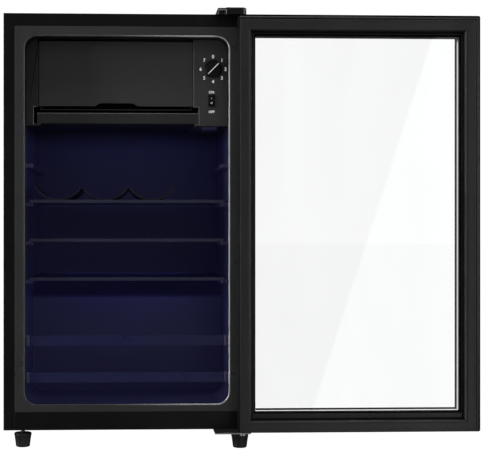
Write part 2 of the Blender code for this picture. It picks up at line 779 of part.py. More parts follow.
def control_housing():
    """Hollow housing, open at the back, that holds the thermostat, the switch and the lamp."""
    wide = FLAP_RIGHT + SIDE_GAP
    narrow = TRAY_RIGHT + TRAY_SIDE_GAP
    outline = side_outline(1, wide, narrow, TRAY_RIGHT)
    back = SUPPORT_FRONT + SUPPORT_DEPTH
    housing = add_piece("control_housing", prism(outline, "Y", SUPPORT_FRONT, back), DARK_PLASTIC)
    hollow = corner_arc(1) + [
        (wide, CEILING),
        (wide, SUPPORT_STEP),
        (narrow, SUPPORT_STEP),
        (narrow, SUPPORT_BOTTOM - FIT),
        (MOUTH_X - FIT, SUPPORT_BOTTOM - FIT),
    ]
    hollow = inset_outline(hollow, HOUSING_WALL)
    cut(housing, tool("cut_housing", prism(hollow, "Y", SUPPORT_FRONT + HOUSING_WALL, back + 0.01)))
    cut(housing, hole("cut_pin_right", FLAP_AXIS, FLAP_PIN_RADIUS + FIT, "X", wide - 0.01, wide + 0.01))
    face = (SUPPORT_FRONT - 0.01, SUPPORT_FRONT + HOUSING_WALL + 0.001)
    cut(housing, hole("cut_knob_shaft", KNOB_AXIS, KNOB_SHAFT_RADIUS + 2 * FIT, "Y", *face))
    opening = box(
        (SWITCH_X - SWITCH_WIDTH / 2 + 0.001, face[0], SWITCH_Z - SWITCH_HEIGHT / 2 + 0.001),
        (SWITCH_X + SWITCH_WIDTH / 2 - 0.001, face[1], SWITCH_Z + SWITCH_HEIGHT / 2 - 0.001),
    )
    cut(housing, tool("cut_switch", opening))


def evaporator_box():
    left = FLAP_LEFT + EVAPORATOR_SIDE_GAP
    right = FLAP_RIGHT - EVAPORATOR_SIDE_GAP
    top = MOUTH_TOP - HANGER_HEIGHT
    floor = top - EVAPORATOR_HEIGHT
    back = LINER_DEPTH - EVAPORATOR_BACK_GAP
    wall = EVAPORATOR_WALL
    shape = box((left, EVAPORATOR_FRONT, floor), (right, back, top))
    outer = add_piece("evaporator_box", shape, ALUMINIUM)
    low = (left + wall, EVAPORATOR_FRONT - 0.01, floor + wall)
    high = (right - wall, back - wall, top - wall)
    cut(outer, tool("cut_freezer", box(low, high)))
    middle = Vector(((left + right) / 2, (EVAPORATOR_FRONT + back) / 2, 0))
    reach = Vector((HANGER_WIDTH / 2, HANGER_LENGTH / 2, 0))
    low = middle - reach
    high = middle + reach
    low.z = top + FIT
    high.z = CEILING
    hanger = box(low, high)
    add_piece("evaporator_hanger", hanger, DARK_PLASTIC)


def freezer_flap():
    low = FLAP_TOP - FLAP_HEIGHT
    notch = low + NOTCH_DEPTH
    outline = [
        (FLAP_LEFT, low),
        (NOTCH_LEFT, low),
        (NOTCH_LEFT + NOTCH_SLOPE, notch),
        (NOTCH_RIGHT - NOTCH_SLOPE, notch),
        (NOTCH_RIGHT, low),
        (FLAP_RIGHT, low),
        (FLAP_RIGHT, FLAP_TOP),
        (FLAP_LEFT, FLAP_TOP),
    ]
    shape = prism(outline, "Y", FREEZER_FRONT, FREEZER_FRONT + FLAP_THICKNESS)
    flap = add_piece("freezer_flap", shape, GRAY_PLASTIC, hang="flap_axis")
    start = FLAP_LEFT - FLAP_PIN_LENGTH
    end = FLAP_RIGHT + FLAP_PIN_LENGTH
    pin = FLAP_PIN_RADIUS
    for side, span in (("left", (start, FLAP_LEFT + 0.004)), ("right", (FLAP_RIGHT - 0.004, end))):
        profile = [(0, span[0]), (pin, span[0]), (pin, span[1]), (0, span[1])]
        place = (0, FLAP_AXIS.y, FLAP_AXIS.z)
        join(flap, tool("join_pin_" + side, turned(profile, place, "X", steps=16), "flap_axis"))


def drip_tray():
    back = SUPPORT_FRONT + SUPPORT_DEPTH
    wall = TRAY_WALL
    shape = box((TRAY_LEFT, SUPPORT_FRONT, TRAY_FLOOR), (TRAY_RIGHT, back, TRAY_TOP))
    tray = add_piece("drip_tray", shape, GRAY_PLASTIC, origin=(0, SUPPORT_FRONT, TRAY_FLOOR))
    low = (TRAY_LEFT + wall, SUPPORT_FRONT + wall, TRAY_FLOOR + wall)
    high = (TRAY_RIGHT - wall, back - wall, TRAY_TOP + 0.01)
    cut(tray, tool("cut_tray", box(low, high)))


def thermostat():
    """Thermostat body behind the housing's face, and the knob on its shaft, set to the first mark."""
    behind = SUPPORT_FRONT + HOUSING_WALL
    shaft_end = behind + 0.003
    low = (KNOB_X - 0.019, shaft_end + FIT, KNOB_Z - 0.017)
    high = (KNOB_X + 0.019, shaft_end + 0.028, KNOB_Z + 0.017)
    add_piece("thermostat_body", box(low, high), ALUMINIUM)
    front = SUPPORT_FRONT - FIT
    rim = 0.0032
    profile = [
        (0, front - KNOB_DEPTH * 0.62),
        (KNOB_RADIUS * 0.80, front - KNOB_DEPTH * 0.62),
        (KNOB_RADIUS * 0.86, front - KNOB_DEPTH * 0.52),
        (KNOB_RADIUS * 0.93, front - rim),
        (KNOB_RADIUS, front - rim * 0.8),
        (KNOB_RADIUS, front),
        (KNOB_SHAFT_RADIUS, front),
        (KNOB_SHAFT_RADIUS, shaft_end),
        (0, shaft_end),
    ]
    place = (KNOB_X, 0, KNOB_Z)
    knob = add_piece("thermostat_knob", turned(profile, place, "Y"), DARK_PLASTIC, hang="knob_axis")
    long_half, wide_half = KNOB_RADIUS * 0.84, 0.0024
    grip = box((-wide_half, front - KNOB_DEPTH, -long_half), (wide_half, front - 0.004, long_half))
    bmesh.ops.rotate(grip, verts=grip.verts, matrix=Matrix.Rotation(KNOB_REST_TURN, 3, "Y"))
    bmesh.ops.translate(grip, verts=grip.verts, vec=(KNOB_X, 0, KNOB_Z))
    join(knob, tool("join_knob_grip", grip, "knob_axis"))
    smooth(knob)


def power_switch():
    """Switch body with a bezel on the housing's face, and the rocker that tilts in it."""
    half_w, half_h = SWITCH_WIDTH / 2, SWITCH_HEIGHT / 2
    front = SUPPORT_FRONT - FIT
    back = SUPPORT_FRONT + SWITCH_BODY_DEPTH
    neck = 0.0013
    bezel = 0.0016
    plate = box(
        (SWITCH_X - half_w, front - bezel, SWITCH_Z - half_h),
        (SWITCH_X + half_w, front, SWITCH_Z + half_h),
    )
    body = add_piece("switch_body", plate, DARK_PLASTIC)
    core = box(
        (SWITCH_X - half_w + neck, front - bezel / 2, SWITCH_Z - half_h + neck),
        (SWITCH_X + half_w - neck, back, SWITCH_Z + half_h - neck),
    )
    join(body, tool("join_switch_core", core))
    pocket_w, pocket_h = half_w - 0.0024, half_h - 0.0026
    pocket = box(
        (SWITCH_X - pocket_w, front - 0.01, SWITCH_Z - pocket_h),
        (SWITCH_X + pocket_w, SUPPORT_FRONT + 0.009, SWITCH_Z + pocket_h),
    )
    cut(body, tool("cut_switch_pocket", pocket))
    width, length = pocket_w - FIT, pocket_h - 0.0013
    proud = 0.0026
    depth = 0.004
    outline = [
        (front - proud, -length),
        (front - proud * 0.55, 0),
        (front - proud, length),
        (front + depth, length * 0.8),
        (front + depth, -length * 0.8),
    ]
    shape = prism([(y, z + SWITCH_Z) for y, z in outline], "X", SWITCH_X - width, SWITCH_X + width)
    turn = Matrix.Rotation(-ROCKER_TILT / 2, 3, "X")
    bmesh.ops.rotate(shape, verts=shape.verts, cent=SWITCH_AXIS, matrix=turn)
    add_piece("switch_rocker", shape, RUBBER, hang="switch_axis")


def lamp_lens():
    top = TRAY_FLOOR - FIT - TRAY_LEDGE_THICKNESS - FIT
    half = LENS_WIDTH / 2
    outline = [
        (LENS_X - half, top),
        (LENS_X - half * 0.8, top - LENS_HEIGHT),
        (LENS_X + half * 0.8, top - LENS_HEIGHT),
        (LENS_X + half, top),
    ]
    start = SUPPORT_FRONT + 0.012
    add_piece("lamp_lens", prism(outline, "Y", start, start + LENS_DEPTH), LAMP)


# ---- door ---------------------------------------------------------------------------------------
def door_outline(hinge, handle, top, bottom, radius=0.0):
    """A rounded rectangle drawn in from the closed door's edges."""
    return rounded(
        DOOR_LEFT + handle,
        DOOR_BOTTOM + bottom,
        DOOR_RIGHT - hinge,
        DOOR_TOP - top,
        max(radius, 0.0005),
    )


def frame_inner(step, radius):
    """Outline at the frame's glass opening, moved outwards by step."""
    return door_outline(
        STILE_HINGE - step, STILE_HANDLE - step, RAIL_TOP - step, RAIL_BOTTOM - step, radius
    )


def door_frame():
    edge = FRAME_EDGE
    sections = [
        (door_outline(0, 0, 0, 0, 0.004), DOOR_OUTER + edge),
        (door_outline(edge, edge, edge, edge, 0.003), DOOR_OUTER),
        (frame_inner(0, 0.001), DOOR_OUTER),
        (frame_inner(0, 0.001), DOOR_OUTER + DOOR_LIP),
        (frame_inner(DOOR_REBATE, 0.001), DOOR_OUTER + DOOR_LIP),
        (frame_inner(DOOR_REBATE, 0.001), DOOR_INNER),
        (door_outline(edge, edge, edge, edge, 0.003), DOOR_INNER),
        (door_outline(0, 0, 0, 0, 0.004), DOOR_INNER - edge),
    ]
    frame = add_piece("door_frame", loops(sections, "Y", closed_path=True), BLACK_STEEL, hang="door_axis")
    grip = box(
        (DOOR_LEFT - 0.01, DOOR_OUTER + 0.008, GRIP_MIDDLE - GRIP_LENGTH / 2),
        (DOOR_LEFT + GRIP_DEPTH, DOOR_OUTER + 0.008 + GRIP_WIDTH, GRIP_MIDDLE + GRIP_LENGTH / 2),
    )
    cut(frame, tool("cut_grip", grip, "door_axis"))
    bore = PIN_RADIUS + FIT + BUSH_WALL + FIT
    deep = PIN_ENGAGE + 0.004
    low = (DOOR_BOTTOM - 0.01, DOOR_BOTTOM + deep)
    high = (DOOR_TOP - deep, DOOR_TOP + 0.01)
    cut(frame, hole("cut_bush_bottom", PIN, bore, "Z", *low, hang="door_axis"))
    cut(frame, hole("cut_bush_top", PIN, bore, "Z", *high, hang="door_axis"))


def door_bush(name, start, end):
    inner = PIN_RADIUS + FIT
    outer = inner + BUSH_WALL
    profile = [(outer, start), (outer, end), (inner, end), (inner, start)]
    place = (PIN.x, PIN.y, 0)
    smooth(add_piece(name, turned(profile, place, "Z"), GRAY_PLASTIC, hang="door_axis"))


def glazing():
    """Two panes held apart by a spacer, in the frame's rebate."""
    reach = DOOR_REBATE - 0.0005
    start = DOOR_OUTER + DOOR_LIP + FIT
    outline = frame_inner(reach, 0.001)
    pane = prism(outline, "Y", start, start + PANE)
    add_piece("door_outer_pane", pane, GLASS, hang="door_axis")
    spacer_start = start + PANE + FIT
    spacer_end = spacer_start + SPACER_DEPTH
    inside, outside = frame_inner(-SPACER_SHOWS, 0.001), frame_inner(SPACER_WIDTH - SPACER_SHOWS, 0.001)
    sections = [
        (outside, spacer_start),
        (inside, spacer_start),
        (inside, spacer_end),
        (outside, spacer_end),
    ]
    add_piece("glazing_spacer", loops(sections, "Y", closed_path=True), ALUMINIUM, hang="door_axis")
    pane = prism(outline, "Y", spacer_end + FIT, spacer_end + FIT + PANE)
    add_piece("door_inner_pane", pane, GLASS, hang="door_axis")
    return spacer_end + 2 * FIT + PANE


def door_inner_frame(start):
    outer = frame_inner(DOOR_REBATE - FIT, 0.001)
    slope = 0.003
    sections = [
        (outer, start),
        (frame_inner(0, 0.001), start),
        (frame_inner(0, 0.001), start + 0.001),
        (frame_inner(slope, 0.001), DOOR_INNER),
        (outer, DOOR_INNER),
    ]
    add_piece("door_inner_frame", loops(sections, "Y", closed_path=True), DARK_PLASTIC, hang="door_axis")


def door_gasket():
    """Magnetic seal with a flat face between two sloping sides."""

    def ring(step):
        return door_outline(
            GASKET_HINGE + step, GASKET_HANDLE + step, GASKET_TOP + step, GASKET_BOTTOM + step, 0.002
        )

    base = DOOR_INNER + FIT
    face = -SEAL_GAP
    root = base + 0.003
    outer = -(GASKET_HINGE - 0.001)
    inner = GASKET_FACE + GASKET_BEVEL
    sections = [
        (ring(outer), base),
        (ring(outer), root),
        (ring(0), face),
        (ring(GASKET_FACE), face),
        (ring(inner), root),
        (ring(inner), base),
    ]
    add_piece("door_gasket", loops(sections, "Y", closed_path=True), GASKET, hang="door_axis")


def door():
    door_frame()
    door_inner_frame(glazing())
    door_gasket()
    deep = PIN_ENGAGE + 0.003
    door_bush("door_bush_bottom", DOOR_BOTTOM, DOOR_BOTTOM + deep)
    door_bush("door_bush_top", DOOR_TOP - deep, DOOR_TOP)


# ---- hinges -------------------------------------------------------------------------------------
def top_hinge():
    low = TOP + FIT
    right = PIN.x + 0.0045
    left = right - HINGE_LENGTH + 2 * CAP_WALL
    front = PIN.y - HINGE_OVERHANG + CAP_WALL + FIT
    plate = add_piece(
        "top_hinge_plate",
        box((left, front, low), (right, HINGE_BACK - CAP_WALL - FIT, low + HINGE_PLATE)),
        ZINC,
    )
    clear = PIN_RADIUS + FIT
    cut(plate, hole("cut_top_pin", PIN, clear, "Z", low - 0.01, low + 0.02))
    above = low + HINGE_PLATE + FIT
    profile = [
        (0, above + 0.0018),
        (0.0042, above + 0.0018),
        (0.0042, above),
        (PIN_RADIUS, above),
        (PIN_RADIUS, DOOR_TOP - PIN_ENGAGE),
        (0, DOOR_TOP - PIN_ENGAGE),
    ]
    place = (PIN.x, PIN.y, 0)
    smooth(add_piece("top_hinge_pin", turned(profile, place, "Z"), ZINC))
    wall = CAP_WALL + FIT
    cap_low = DOOR_TOP + CAP_CLEAR
    cap_high = TOP + CAP_RISE
    outer = box(
        (left - wall, front - wall, cap_low),
        (right + wall, HINGE_BACK, cap_high),
    )
    cap = add_piece("top_hinge_cover", outer, DARK_PLASTIC)
    behind = box((left - 0.02, -FIT, cap_low - 0.01), (right + 0.02, HINGE_BACK + 0.02, low))
    cut(cap, tool("cut_cap_under", behind))
    inner = box((left - FIT, front - FIT, cap_low - 0.01), (right + FIT, HINGE_BACK - CAP_WALL, cap_high - CAP_WALL))
    cut(cap, tool("cut_cap_inside", inner))


def lower_hinge():
    high = BOTTOM - FIT
    low = high - HINGE_PLATE
    right = HALF - 0.002
    left = right - LOWER_HINGE_LENGTH
    front = PIN.y - HINGE_OVERHANG
    plate = add_piece(
        "lower_hinge_plate", box((left, front, low), (right, HINGE_BACK, high)), ZINC
    )
    clear = PIN_RADIUS + FIT
    cut(plate, hole("cut_low_pin", PIN, clear, "Z", low - 0.01, high + 0.01))
    head = low - FIT
    profile = [
        (0, DOOR_BOTTOM + PIN_ENGAGE),
        (PIN_RADIUS, DOOR_BOTTOM + PIN_ENGAGE),
        (PIN_RADIUS, head),
        (PIN_HEAD_RADIUS, head),
        (PIN_HEAD_RADIUS, head - PIN_HEAD_HEIGHT),
        (0, head - PIN_HEAD_HEIGHT),
    ]
    place = (PIN.x, PIN.y, 0)
    smooth(add_piece("lower_hinge_pin", turned(profile, place, "Z"), ZINC))
    return low


# ---- feet ---------------------------------------------------------------------------------------
def foot(name, x, y, top, stud, hang="cabinet"):
    """Tapered cup with a chamfered sole; a levelling foot also shows its stud."""
    cup = min(FOOT_CUP, top)
    profile = [
        (0, top),
        (FOOT_STUD_RADIUS, top),
        (FOOT_STUD_RADIUS, cup),
        (FOOT_TOP_RADIUS, cup),
        (FOOT_TOP_RADIUS, cup - 0.005),
        (FOOT_SOLE_RADIUS, 0.004),
        (FOOT_SOLE_RADIUS - 0.002, 0),
        (0, 0),
    ]
    if not stud:
        profile[1:4] = [(FOOT_TOP_RADIUS, top)]
    smooth(add_piece(name, turned(profile, (x, y, 0), "Z"), RUBBER, hang))


def feet(plate_low):
    left = (-HALF + FOOT_INSET, FOOT_BACK)
    right = (HALF - RIGHT_FOOT_INSET, -RIGHT_FOOT_FORWARD)
    anchor("foot_left_axis", (*left, 0))
    anchor("foot_right_axis", (*right, 0))
    foot("foot_front_left", *left, BOTTOM - FIT, True, "foot_left_axis")
    foot("foot_front_right", *right, plate_low - FIT, True, "foot_right_axis")
    for name, side in (("foot_rear_left", -1), ("foot_rear_right", 1)):
        x = side * (HALF - FOOT_INSET)
        foot(name, x, REAR - REAR_FOOT_FROM_BACK, BOTTOM - FIT, False)


# ---- cooling circuit ----------------------------------------------------------------------------
def compressor():
    y = (BAY_FRONT + SHEET + REAR) / 2
    base = BOTTOM + BASE_SHEET + FIT
    half_x, half_y = COMPRESSOR_HALF_X * 1.22, COMPRESSOR_HALF_Y * 0.86
    for i, (side, back) in enumerate(((-1, -1), (1, -1), (-1, 1), (1, 1))):
        place = (COMPRESSOR_X + side * (half_x - GROMMET_RADIUS), y + back * (half_y - GROMMET_RADIUS), 0)
        waist = GROMMET_RADIUS * 0.75
        profile = [
            (0, base + GROMMET_HEIGHT),
            (GROMMET_RADIUS, base + GROMMET_HEIGHT),
            (GROMMET_RADIUS, base + GROMMET_HEIGHT * 0.7),
            (waist, base + GROMMET_HEIGHT * 0.6),
            (waist, base + GROMMET_HEIGHT * 0.4),
            (GROMMET_RADIUS, base + GROMMET_HEIGHT * 0.3),
            (GROMMET_RADIUS, base),
            (0, base),
        ]
        shape = turned(profile, place, "Z", steps=16)
        smooth(add_piece("compressor_grommet_%d" % (i + 1), shape, RUBBER))
    foot_low = base + GROMMET_HEIGHT + FIT
    low = (COMPRESSOR_X - half_x, y - half_y, foot_low)
    high = (COMPRESSOR_X + half_x, y + half_y, foot_low + FOOT_PLATE)
    add_piece("compressor_foot_plate", box(low, high), BLACK_STEEL)

    start = foot_low + FOOT_PLATE + FIT
    end = start + COMPRESSOR_HEIGHT
    half = COMPRESSOR_HALF_Y
    wall = COMPRESSOR_WALL
    outside = [
        (0, end),
        (half * 0.45, end - 0.003),
        (half * 0.80, end - 0.014),
        (half * 0.95, end - 0.034),
        (half * 0.95, start + COMPRESSOR_HEIGHT * 0.52),
        (half, start + COMPRESSOR_HEIGHT * 0.50),
        (half, start + COMPRESSOR_HEIGHT * 0.44),
        (half * 0.95, start + COMPRESSOR_HEIGHT * 0.42),
        (half * 0.95, start + 0.030),
        (half * 0.80, start + 0.008),
        (half * 0.55, start),
    ]
    inside = [
        (0.010, start),
        (0.010, start + wall),
        (half * 0.80 - wall, start + wall + 0.006),
        (half * 0.95 - wall, start + 0.034),
        (half * 0.95 - wall, end - 0.040),
        (half * 0.60, end - 0.014 - wall),
        (0, end - wall),
    ]
    stretch = COMPRESSOR_HALF_X / COMPRESSOR_HALF_Y
    shape = turned(outside + inside, (COMPRESSOR_X, y, 0), "Z", stretch)
    smooth(add_piece("compressor", shape, BLACK_STEEL))
    relay_x = COMPRESSOR_X + COMPRESSOR_HALF_X + FIT
    middle = start + COMPRESSOR_HEIGHT * 0.5
    low = (relay_x, y - 0.028, middle - 0.030)
    high = (relay_x + 0.032, y + 0.028, middle + 0.030)
    add_piece("relay_cover", box(low, high), DARK_PLASTIC)
    return y, start, end


def evaporation_pan(y, compressor_top):
    base = compressor_top + FIT
    low = (COMPRESSOR_X - 0.085, y - 0.062, base)
    high = (COMPRESSOR_X + 0.085, y + 0.062, base + PAN_HEIGHT)
    pan = add_piece("evaporation_pan", box(low, high), DARK_PLASTIC)
    wall = 0.0018
    hollow = box(
        (low[0] + wall, low[1] + wall, base + wall),
        (high[0] - wall, high[1] - wall, base + PAN_HEIGHT + 0.01),
    )
    cut(pan, tool("cut_pan", hollow))
    end = BAY_TOP - SHEET - FIT
    start = base + PAN_HEIGHT * 0.55
    profile = [(0.006, start), (0.006, end), (0.004, end), (0.004, start)]
    place = (COMPRESSOR_X - 0.05, y - 0.035, 0)
    smooth(add_piece("drain_tube", turned(profile, place, "Z", steps=16), RUBBER))


def pipework(y, start, end):
    """Filter drier and the two pipes between the compressor and the ceiling above it."""
    ceiling = BAY_TOP - SHEET - FIT
    drier = (0.105, y + 0.030, 0)
    radius = 0.0095
    low = ceiling - 0.150
    profile = [
        (0, ceiling),
        (PIPE_RADIUS, ceiling),
        (PIPE_RADIUS, low + 0.112),
        (radius, low + 0.100),
        (radius, low + 0.020),
        (PIPE_RADIUS, low + 0.008),
        (PIPE_RADIUS, low),
        (0, low),
    ]
    smooth(add_piece("filter_drier", turned(profile, drier, "Z", steps=16), COPPER))
    side = COMPRESSOR_X - COMPRESSOR_HALF_X
    middle = start + COMPRESSOR_HEIGHT * 0.36
    leave = PIPE_RADIUS + 2 * FIT
    suction = [
        (side - leave, y, middle - 0.02),
        (side - leave, y, middle),
        (side - 0.030, y + 0.004, middle + 0.045),
        (side - 0.046, y + 0.010, ceiling - 0.040),
        (side - 0.046, y + 0.010, ceiling - 0.001),
    ]
    pipe("suction_pipe", suction, PIPE_RADIUS, COPPER)
    front = y - COMPRESSOR_HALF_Y - leave
    discharge = [
        (COMPRESSOR_X + 0.004, front, middle - 0.02),
        (COMPRESSOR_X + 0.004, front, middle),
        (COMPRESSOR_X + 0.060, front + 0.002, middle + 0.030),
        (0.078, y - 0.030, ceiling - 0.050),
        (0.078, y - 0.030, ceiling - 0.001),
    ]
    pipe("discharge_pipe", discharge, PIPE_RADIUS, COPPER)


def condenser_tube():
    """Serpentine tube in the space between the insulation and the rear panel."""
    y = (FOAM_BACK + REAR - SHEET) / 2
    top = TOP - CONDENSER_TOP_GAP
    pitch = (top - BAY_TOP - CONDENSER_BOTTOM_GAP) / (CONDENSER_RUNS - 1)
    half = pitch / 2
    reach = HALF - CONDENSER_SIDE_GAP
    points = []
    for run in range(CONDENSER_RUNS):
        side = 1 if run % 2 else -1
        height = top - pitch * run
        points.append((side * reach, y, height))
        if run == CONDENSER_RUNS - 1:
            points.append((-side * reach, y, height))
            continue
        for i in range(5):
            turn = math.radians(90 - 45 * i)
            x = -side * (reach + half * math.cos(turn))
            points.append((x, y, height - half + half * math.sin(turn)))
    data = bpy.data.curves.new("condenser_tube", "CURVE")
    data.dimensions = "3D"
    data.bevel_depth = CONDENSER_RADIUS
    data.bevel_resolution = 1
    data.use_fill_caps = True
    spline = data.splines.new("POLY")
    spline.points.add(len(points) - 1)
    for point, place in zip(spline.points, points):
        point.co = (*place, 1)
    add_piece("condenser_tube", data, COPPER)


# ---- the whole fridge ---------------------------------------------------------------------------
def clear_scene():
    for item in list(bpy.data.objects):
        bpy.data.objects.remove(item, do_unlink=True)


def build():
    clear_scene()
    anchor("cabinet", -ORIGIN)
    anchor("door_axis", PIN, DOOR_OPEN_TURN)
    anchor("flap_axis", FLAP_AXIS)
    anchor("knob_axis", KNOB_AXIS)
    anchor("switch_axis", SWITCH_AXIS)

    cabinet_shell()
    bottom_front_rail()
    bottom_plate()
    rear_panel()
    compressor_space_panel()
    compressor_plate()
    cabinet_foam()
    inner_liner()
    mouth_frame()
    guard_rails()

    shelves()
    bottle_rack()

    freezer_side_bracket()
    control_housing()
    evaporator_box()
    freezer_flap()
    drip_tray()
    thermostat()
    power_switch()
    lamp_lens()

    door()
    top_hinge()
    plate_low = lower_hinge()
    feet(plate_low)

    y, start, end = compressor()
    evaporation_pan(y, end)
    pipework(y, start, end)
    condenser_tube()


build()
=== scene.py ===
"""Compact glass-door drinks fridge: looks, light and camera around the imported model."""

import math

import bmesh
import bpy
from mathutils import Matrix, Vector


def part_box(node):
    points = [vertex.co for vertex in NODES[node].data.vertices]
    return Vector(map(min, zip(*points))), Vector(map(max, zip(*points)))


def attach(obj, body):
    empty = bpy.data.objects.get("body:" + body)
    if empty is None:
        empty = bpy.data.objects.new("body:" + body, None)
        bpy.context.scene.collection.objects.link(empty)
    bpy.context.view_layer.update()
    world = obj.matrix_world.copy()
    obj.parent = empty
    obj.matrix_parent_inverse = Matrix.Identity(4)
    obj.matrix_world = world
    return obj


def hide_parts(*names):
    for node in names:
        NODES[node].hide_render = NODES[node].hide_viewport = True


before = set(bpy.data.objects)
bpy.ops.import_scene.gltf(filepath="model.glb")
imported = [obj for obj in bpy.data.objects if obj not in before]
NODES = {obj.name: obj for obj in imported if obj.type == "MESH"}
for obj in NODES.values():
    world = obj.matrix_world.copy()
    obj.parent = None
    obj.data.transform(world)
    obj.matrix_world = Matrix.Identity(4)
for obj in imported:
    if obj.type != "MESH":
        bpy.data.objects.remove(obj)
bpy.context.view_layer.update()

bpy.context.scene.view_settings.view_transform = "Standard"

# Sizes of the visible model that the boxes of the CAD's nodes don't give, in metres.
MOUTH_BAND = 0.0175  # gray frame's flat band at the sides and the top
MOUTH_SILL = 0.0125  # the same band below the mouth
MOUTH_ROUND = 0.025  # radius of the mouth's corners
STEP_ABOVE_TRAY = 0.0125  # step of the housing and the bracket over the tray's top
TRAY_BRACKET_GAP = 0.0066  # tray to the side bracket
SPACER_FACE = 0.0082  # spacer's width, seen from the front
INNER_FRAME_FACE = 0.0087  # inner frame's flat face
INNER_FRAME_SLOPE = 0.0030  # and the slope from it to the glass
PIP_RIGHT = 0.1112  # the flap's small dot, from the flap's left side
PIP_UP = 0.0115  # and from its lower edge
DIAL_RADIUS = 0.0245  # circle of the dial's numbers
NUMBER_SIZE = 0.0094
WORD_SIZE = 0.0068
SYMBOL_SIZE = 0.0046
INK_BOLD = 0.00018  # how far the printed strokes are widened

LENS = 88.6
LENS_SHIFT = 0.14
CAMERA_PLACE = (0.0045, -2.300, 0.4193)  # from the foot of the cabinet's front, in its middle
CAMERA_TURN = -2.189  # degrees from looking straight on

WORLD_WHITE = 1.065  # surroundings as the camera sees them
FLOOR_WHITE = 1.03
CARD_GLOW = 0.85
DIM = 0.085  # surroundings as reflections and bounced light see them
# Two points of the pane, as shares of its width and height, on the edge of the mirrored card.
REFLECTED_LINE = ((0.8354, 0.9553), (0.3043, 0.033))


def span(node):
    """Lowest and highest corner of a node's box."""
    low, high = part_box(node)
    return Vector(low), Vector(high)


SHELL_LOW, SHELL_HIGH = span("cabinet_shell")
FRONT = Vector(((SHELL_LOW.x + SHELL_HIGH.x) / 2, SHELL_LOW.y, 0))


# ---- camera -------------------------------------------------------------------------------------
def make_camera():
    """The photo's view: level, a little to the side, with the open door shifted into the frame."""
    data = bpy.data.cameras.new("camera")
    data.lens = LENS
    data.sensor_width = 36
    data.shift_x = LENS_SHIFT
    data.clip_start = 0.05
    camera = bpy.data.objects.new("camera", data)
    camera.location = FRONT + Vector(CAMERA_PLACE)
    camera.rotation_euler = (math.radians(90), 0, math.radians(CAMERA_TURN))
    bpy.context.scene.collection.objects.link(camera)
    bpy.context.scene.camera = camera
    return camera


# ---- node graphs --------------------------------------------------------------------------------
class Graph:
    """The node tree of a material, or of the world, built up by short calls."""

    def __init__(self, name, world=False):
        holders = bpy.data.worlds if world else bpy.data.materials
        self.material = holders.new(name)
        self.material.use_nodes = True
        self.tree = self.material.node_tree
        self.tree.nodes.clear()
        self.output = self.node("OutputWorld" if world else "OutputMaterial")

    def node(self, kind, settings=None, **inputs):
        made = self.tree.nodes.new("ShaderNode" + kind)
        for key, value in (settings or {}).items():
            setattr(made, key, value)
        for key, value in inputs.items():
            self.feed(made.inputs[key.replace("_", " ")], value)
        return made

    def feed(self, socket, value):
        if isinstance(value, bpy.types.NodeSocket):
            self.tree.links.new(value, socket)
        else:
            socket.default_value = value

    def coords(self):
        return self.node("TexCoord").outputs["Object"]

    def noise(self, vector, scale, detail=2.0, rough=0.5, distortion=0.0):
        made = self.node("TexNoise", Scale=scale, Detail=detail, Roughness=rough, Distortion=distortion)
        self.feed(made.inputs["Vector"], vector)
        return made.outputs["Fac"]

    def stretch(self, vector, scale):
        made = self.node("Mapping")
        self.feed(made.inputs["Vector"], vector)
        made.inputs["Scale"].default_value = scale
        return made.outputs["Vector"]

    def remap(self, value, low, high, start, end, smooth=False):
        made = self.node("MapRange", {"interpolation_type": "SMOOTHSTEP" if smooth else "LINEAR"})
        self.feed(made.inputs["Value"], value)
        for key, number in (("From Min", low), ("From Max", high), ("To Min", start), ("To Max", end)):
            made.inputs[key].default_value = number
        return made.outputs["Result"]

    def math(self, operation, a, b=0.0, c=0.0):
        made = self.node("Math", {"operation": operation})
        for socket, value in zip(made.inputs, (a, b, c)):
            self.feed(socket, value)
        return made.outputs[0]

    def mix(self, factor, a, b):
        made = self.node("Mix", {"data_type": "RGBA"})
        self.feed(made.inputs[0], factor)
        self.feed(made.inputs[6], a)
        self.feed(made.inputs[7], b)
        return made.outputs[2]

    def bump(self, height, distance, normal=None, strength=1.0):
        made = self.node("Bump", Strength=strength, Distance=distance)
        self.feed(made.inputs["Height"], height)
        if normal is not None:
            self.feed(made.inputs["Normal"], normal)
        return made.outputs["Normal"]

    def rounded(self, radius):
        made = self.node("Bevel", {"samples": 4})
        made.inputs["Radius"].default_value = radius
        return made.outputs["Normal"]

    def edges(self, rounded_normal):
        """1 along convex and concave edges, 0 on flat faces."""
        flat = self.node("NewGeometry").outputs["Normal"]
        made = self.node("VectorMath", {"operation": "DOT_PRODUCT"})
        self.feed(made.inputs[0], rounded_normal)
        self.feed(made.inputs[1], flat)
        return self.remap(made.outputs["Value"], 0.82, 0.98, 1.0, 0.0)

    def axes(self, vector):
        made = self.node("SeparateXYZ")
        self.feed(made.inputs[0], vector)
        return made.outputs["X"], made.outputs["Y"], made.outputs["Z"]

    def split(self, rays, others, seen):
        """One shader for a kind of ray, another for all the others."""
        made = self.node("MixShader")
        self.feed(made.inputs[0], self.node("LightPath").outputs[rays])
        self.feed(made.inputs[1], others.outputs[0])
        self.feed(made.inputs[2], seen.outputs[0])
        return made

    def show(self, shader):
        """Sends a shader to the output."""
        self.feed(self.output.inputs["Surface"], shader.outputs[0])

    def shader(self, **inputs):
        made = self.node("BsdfPrincipled", **inputs)
        self.show(made)
        return made


def rgb(colour):
    return (*colour, 1.0)


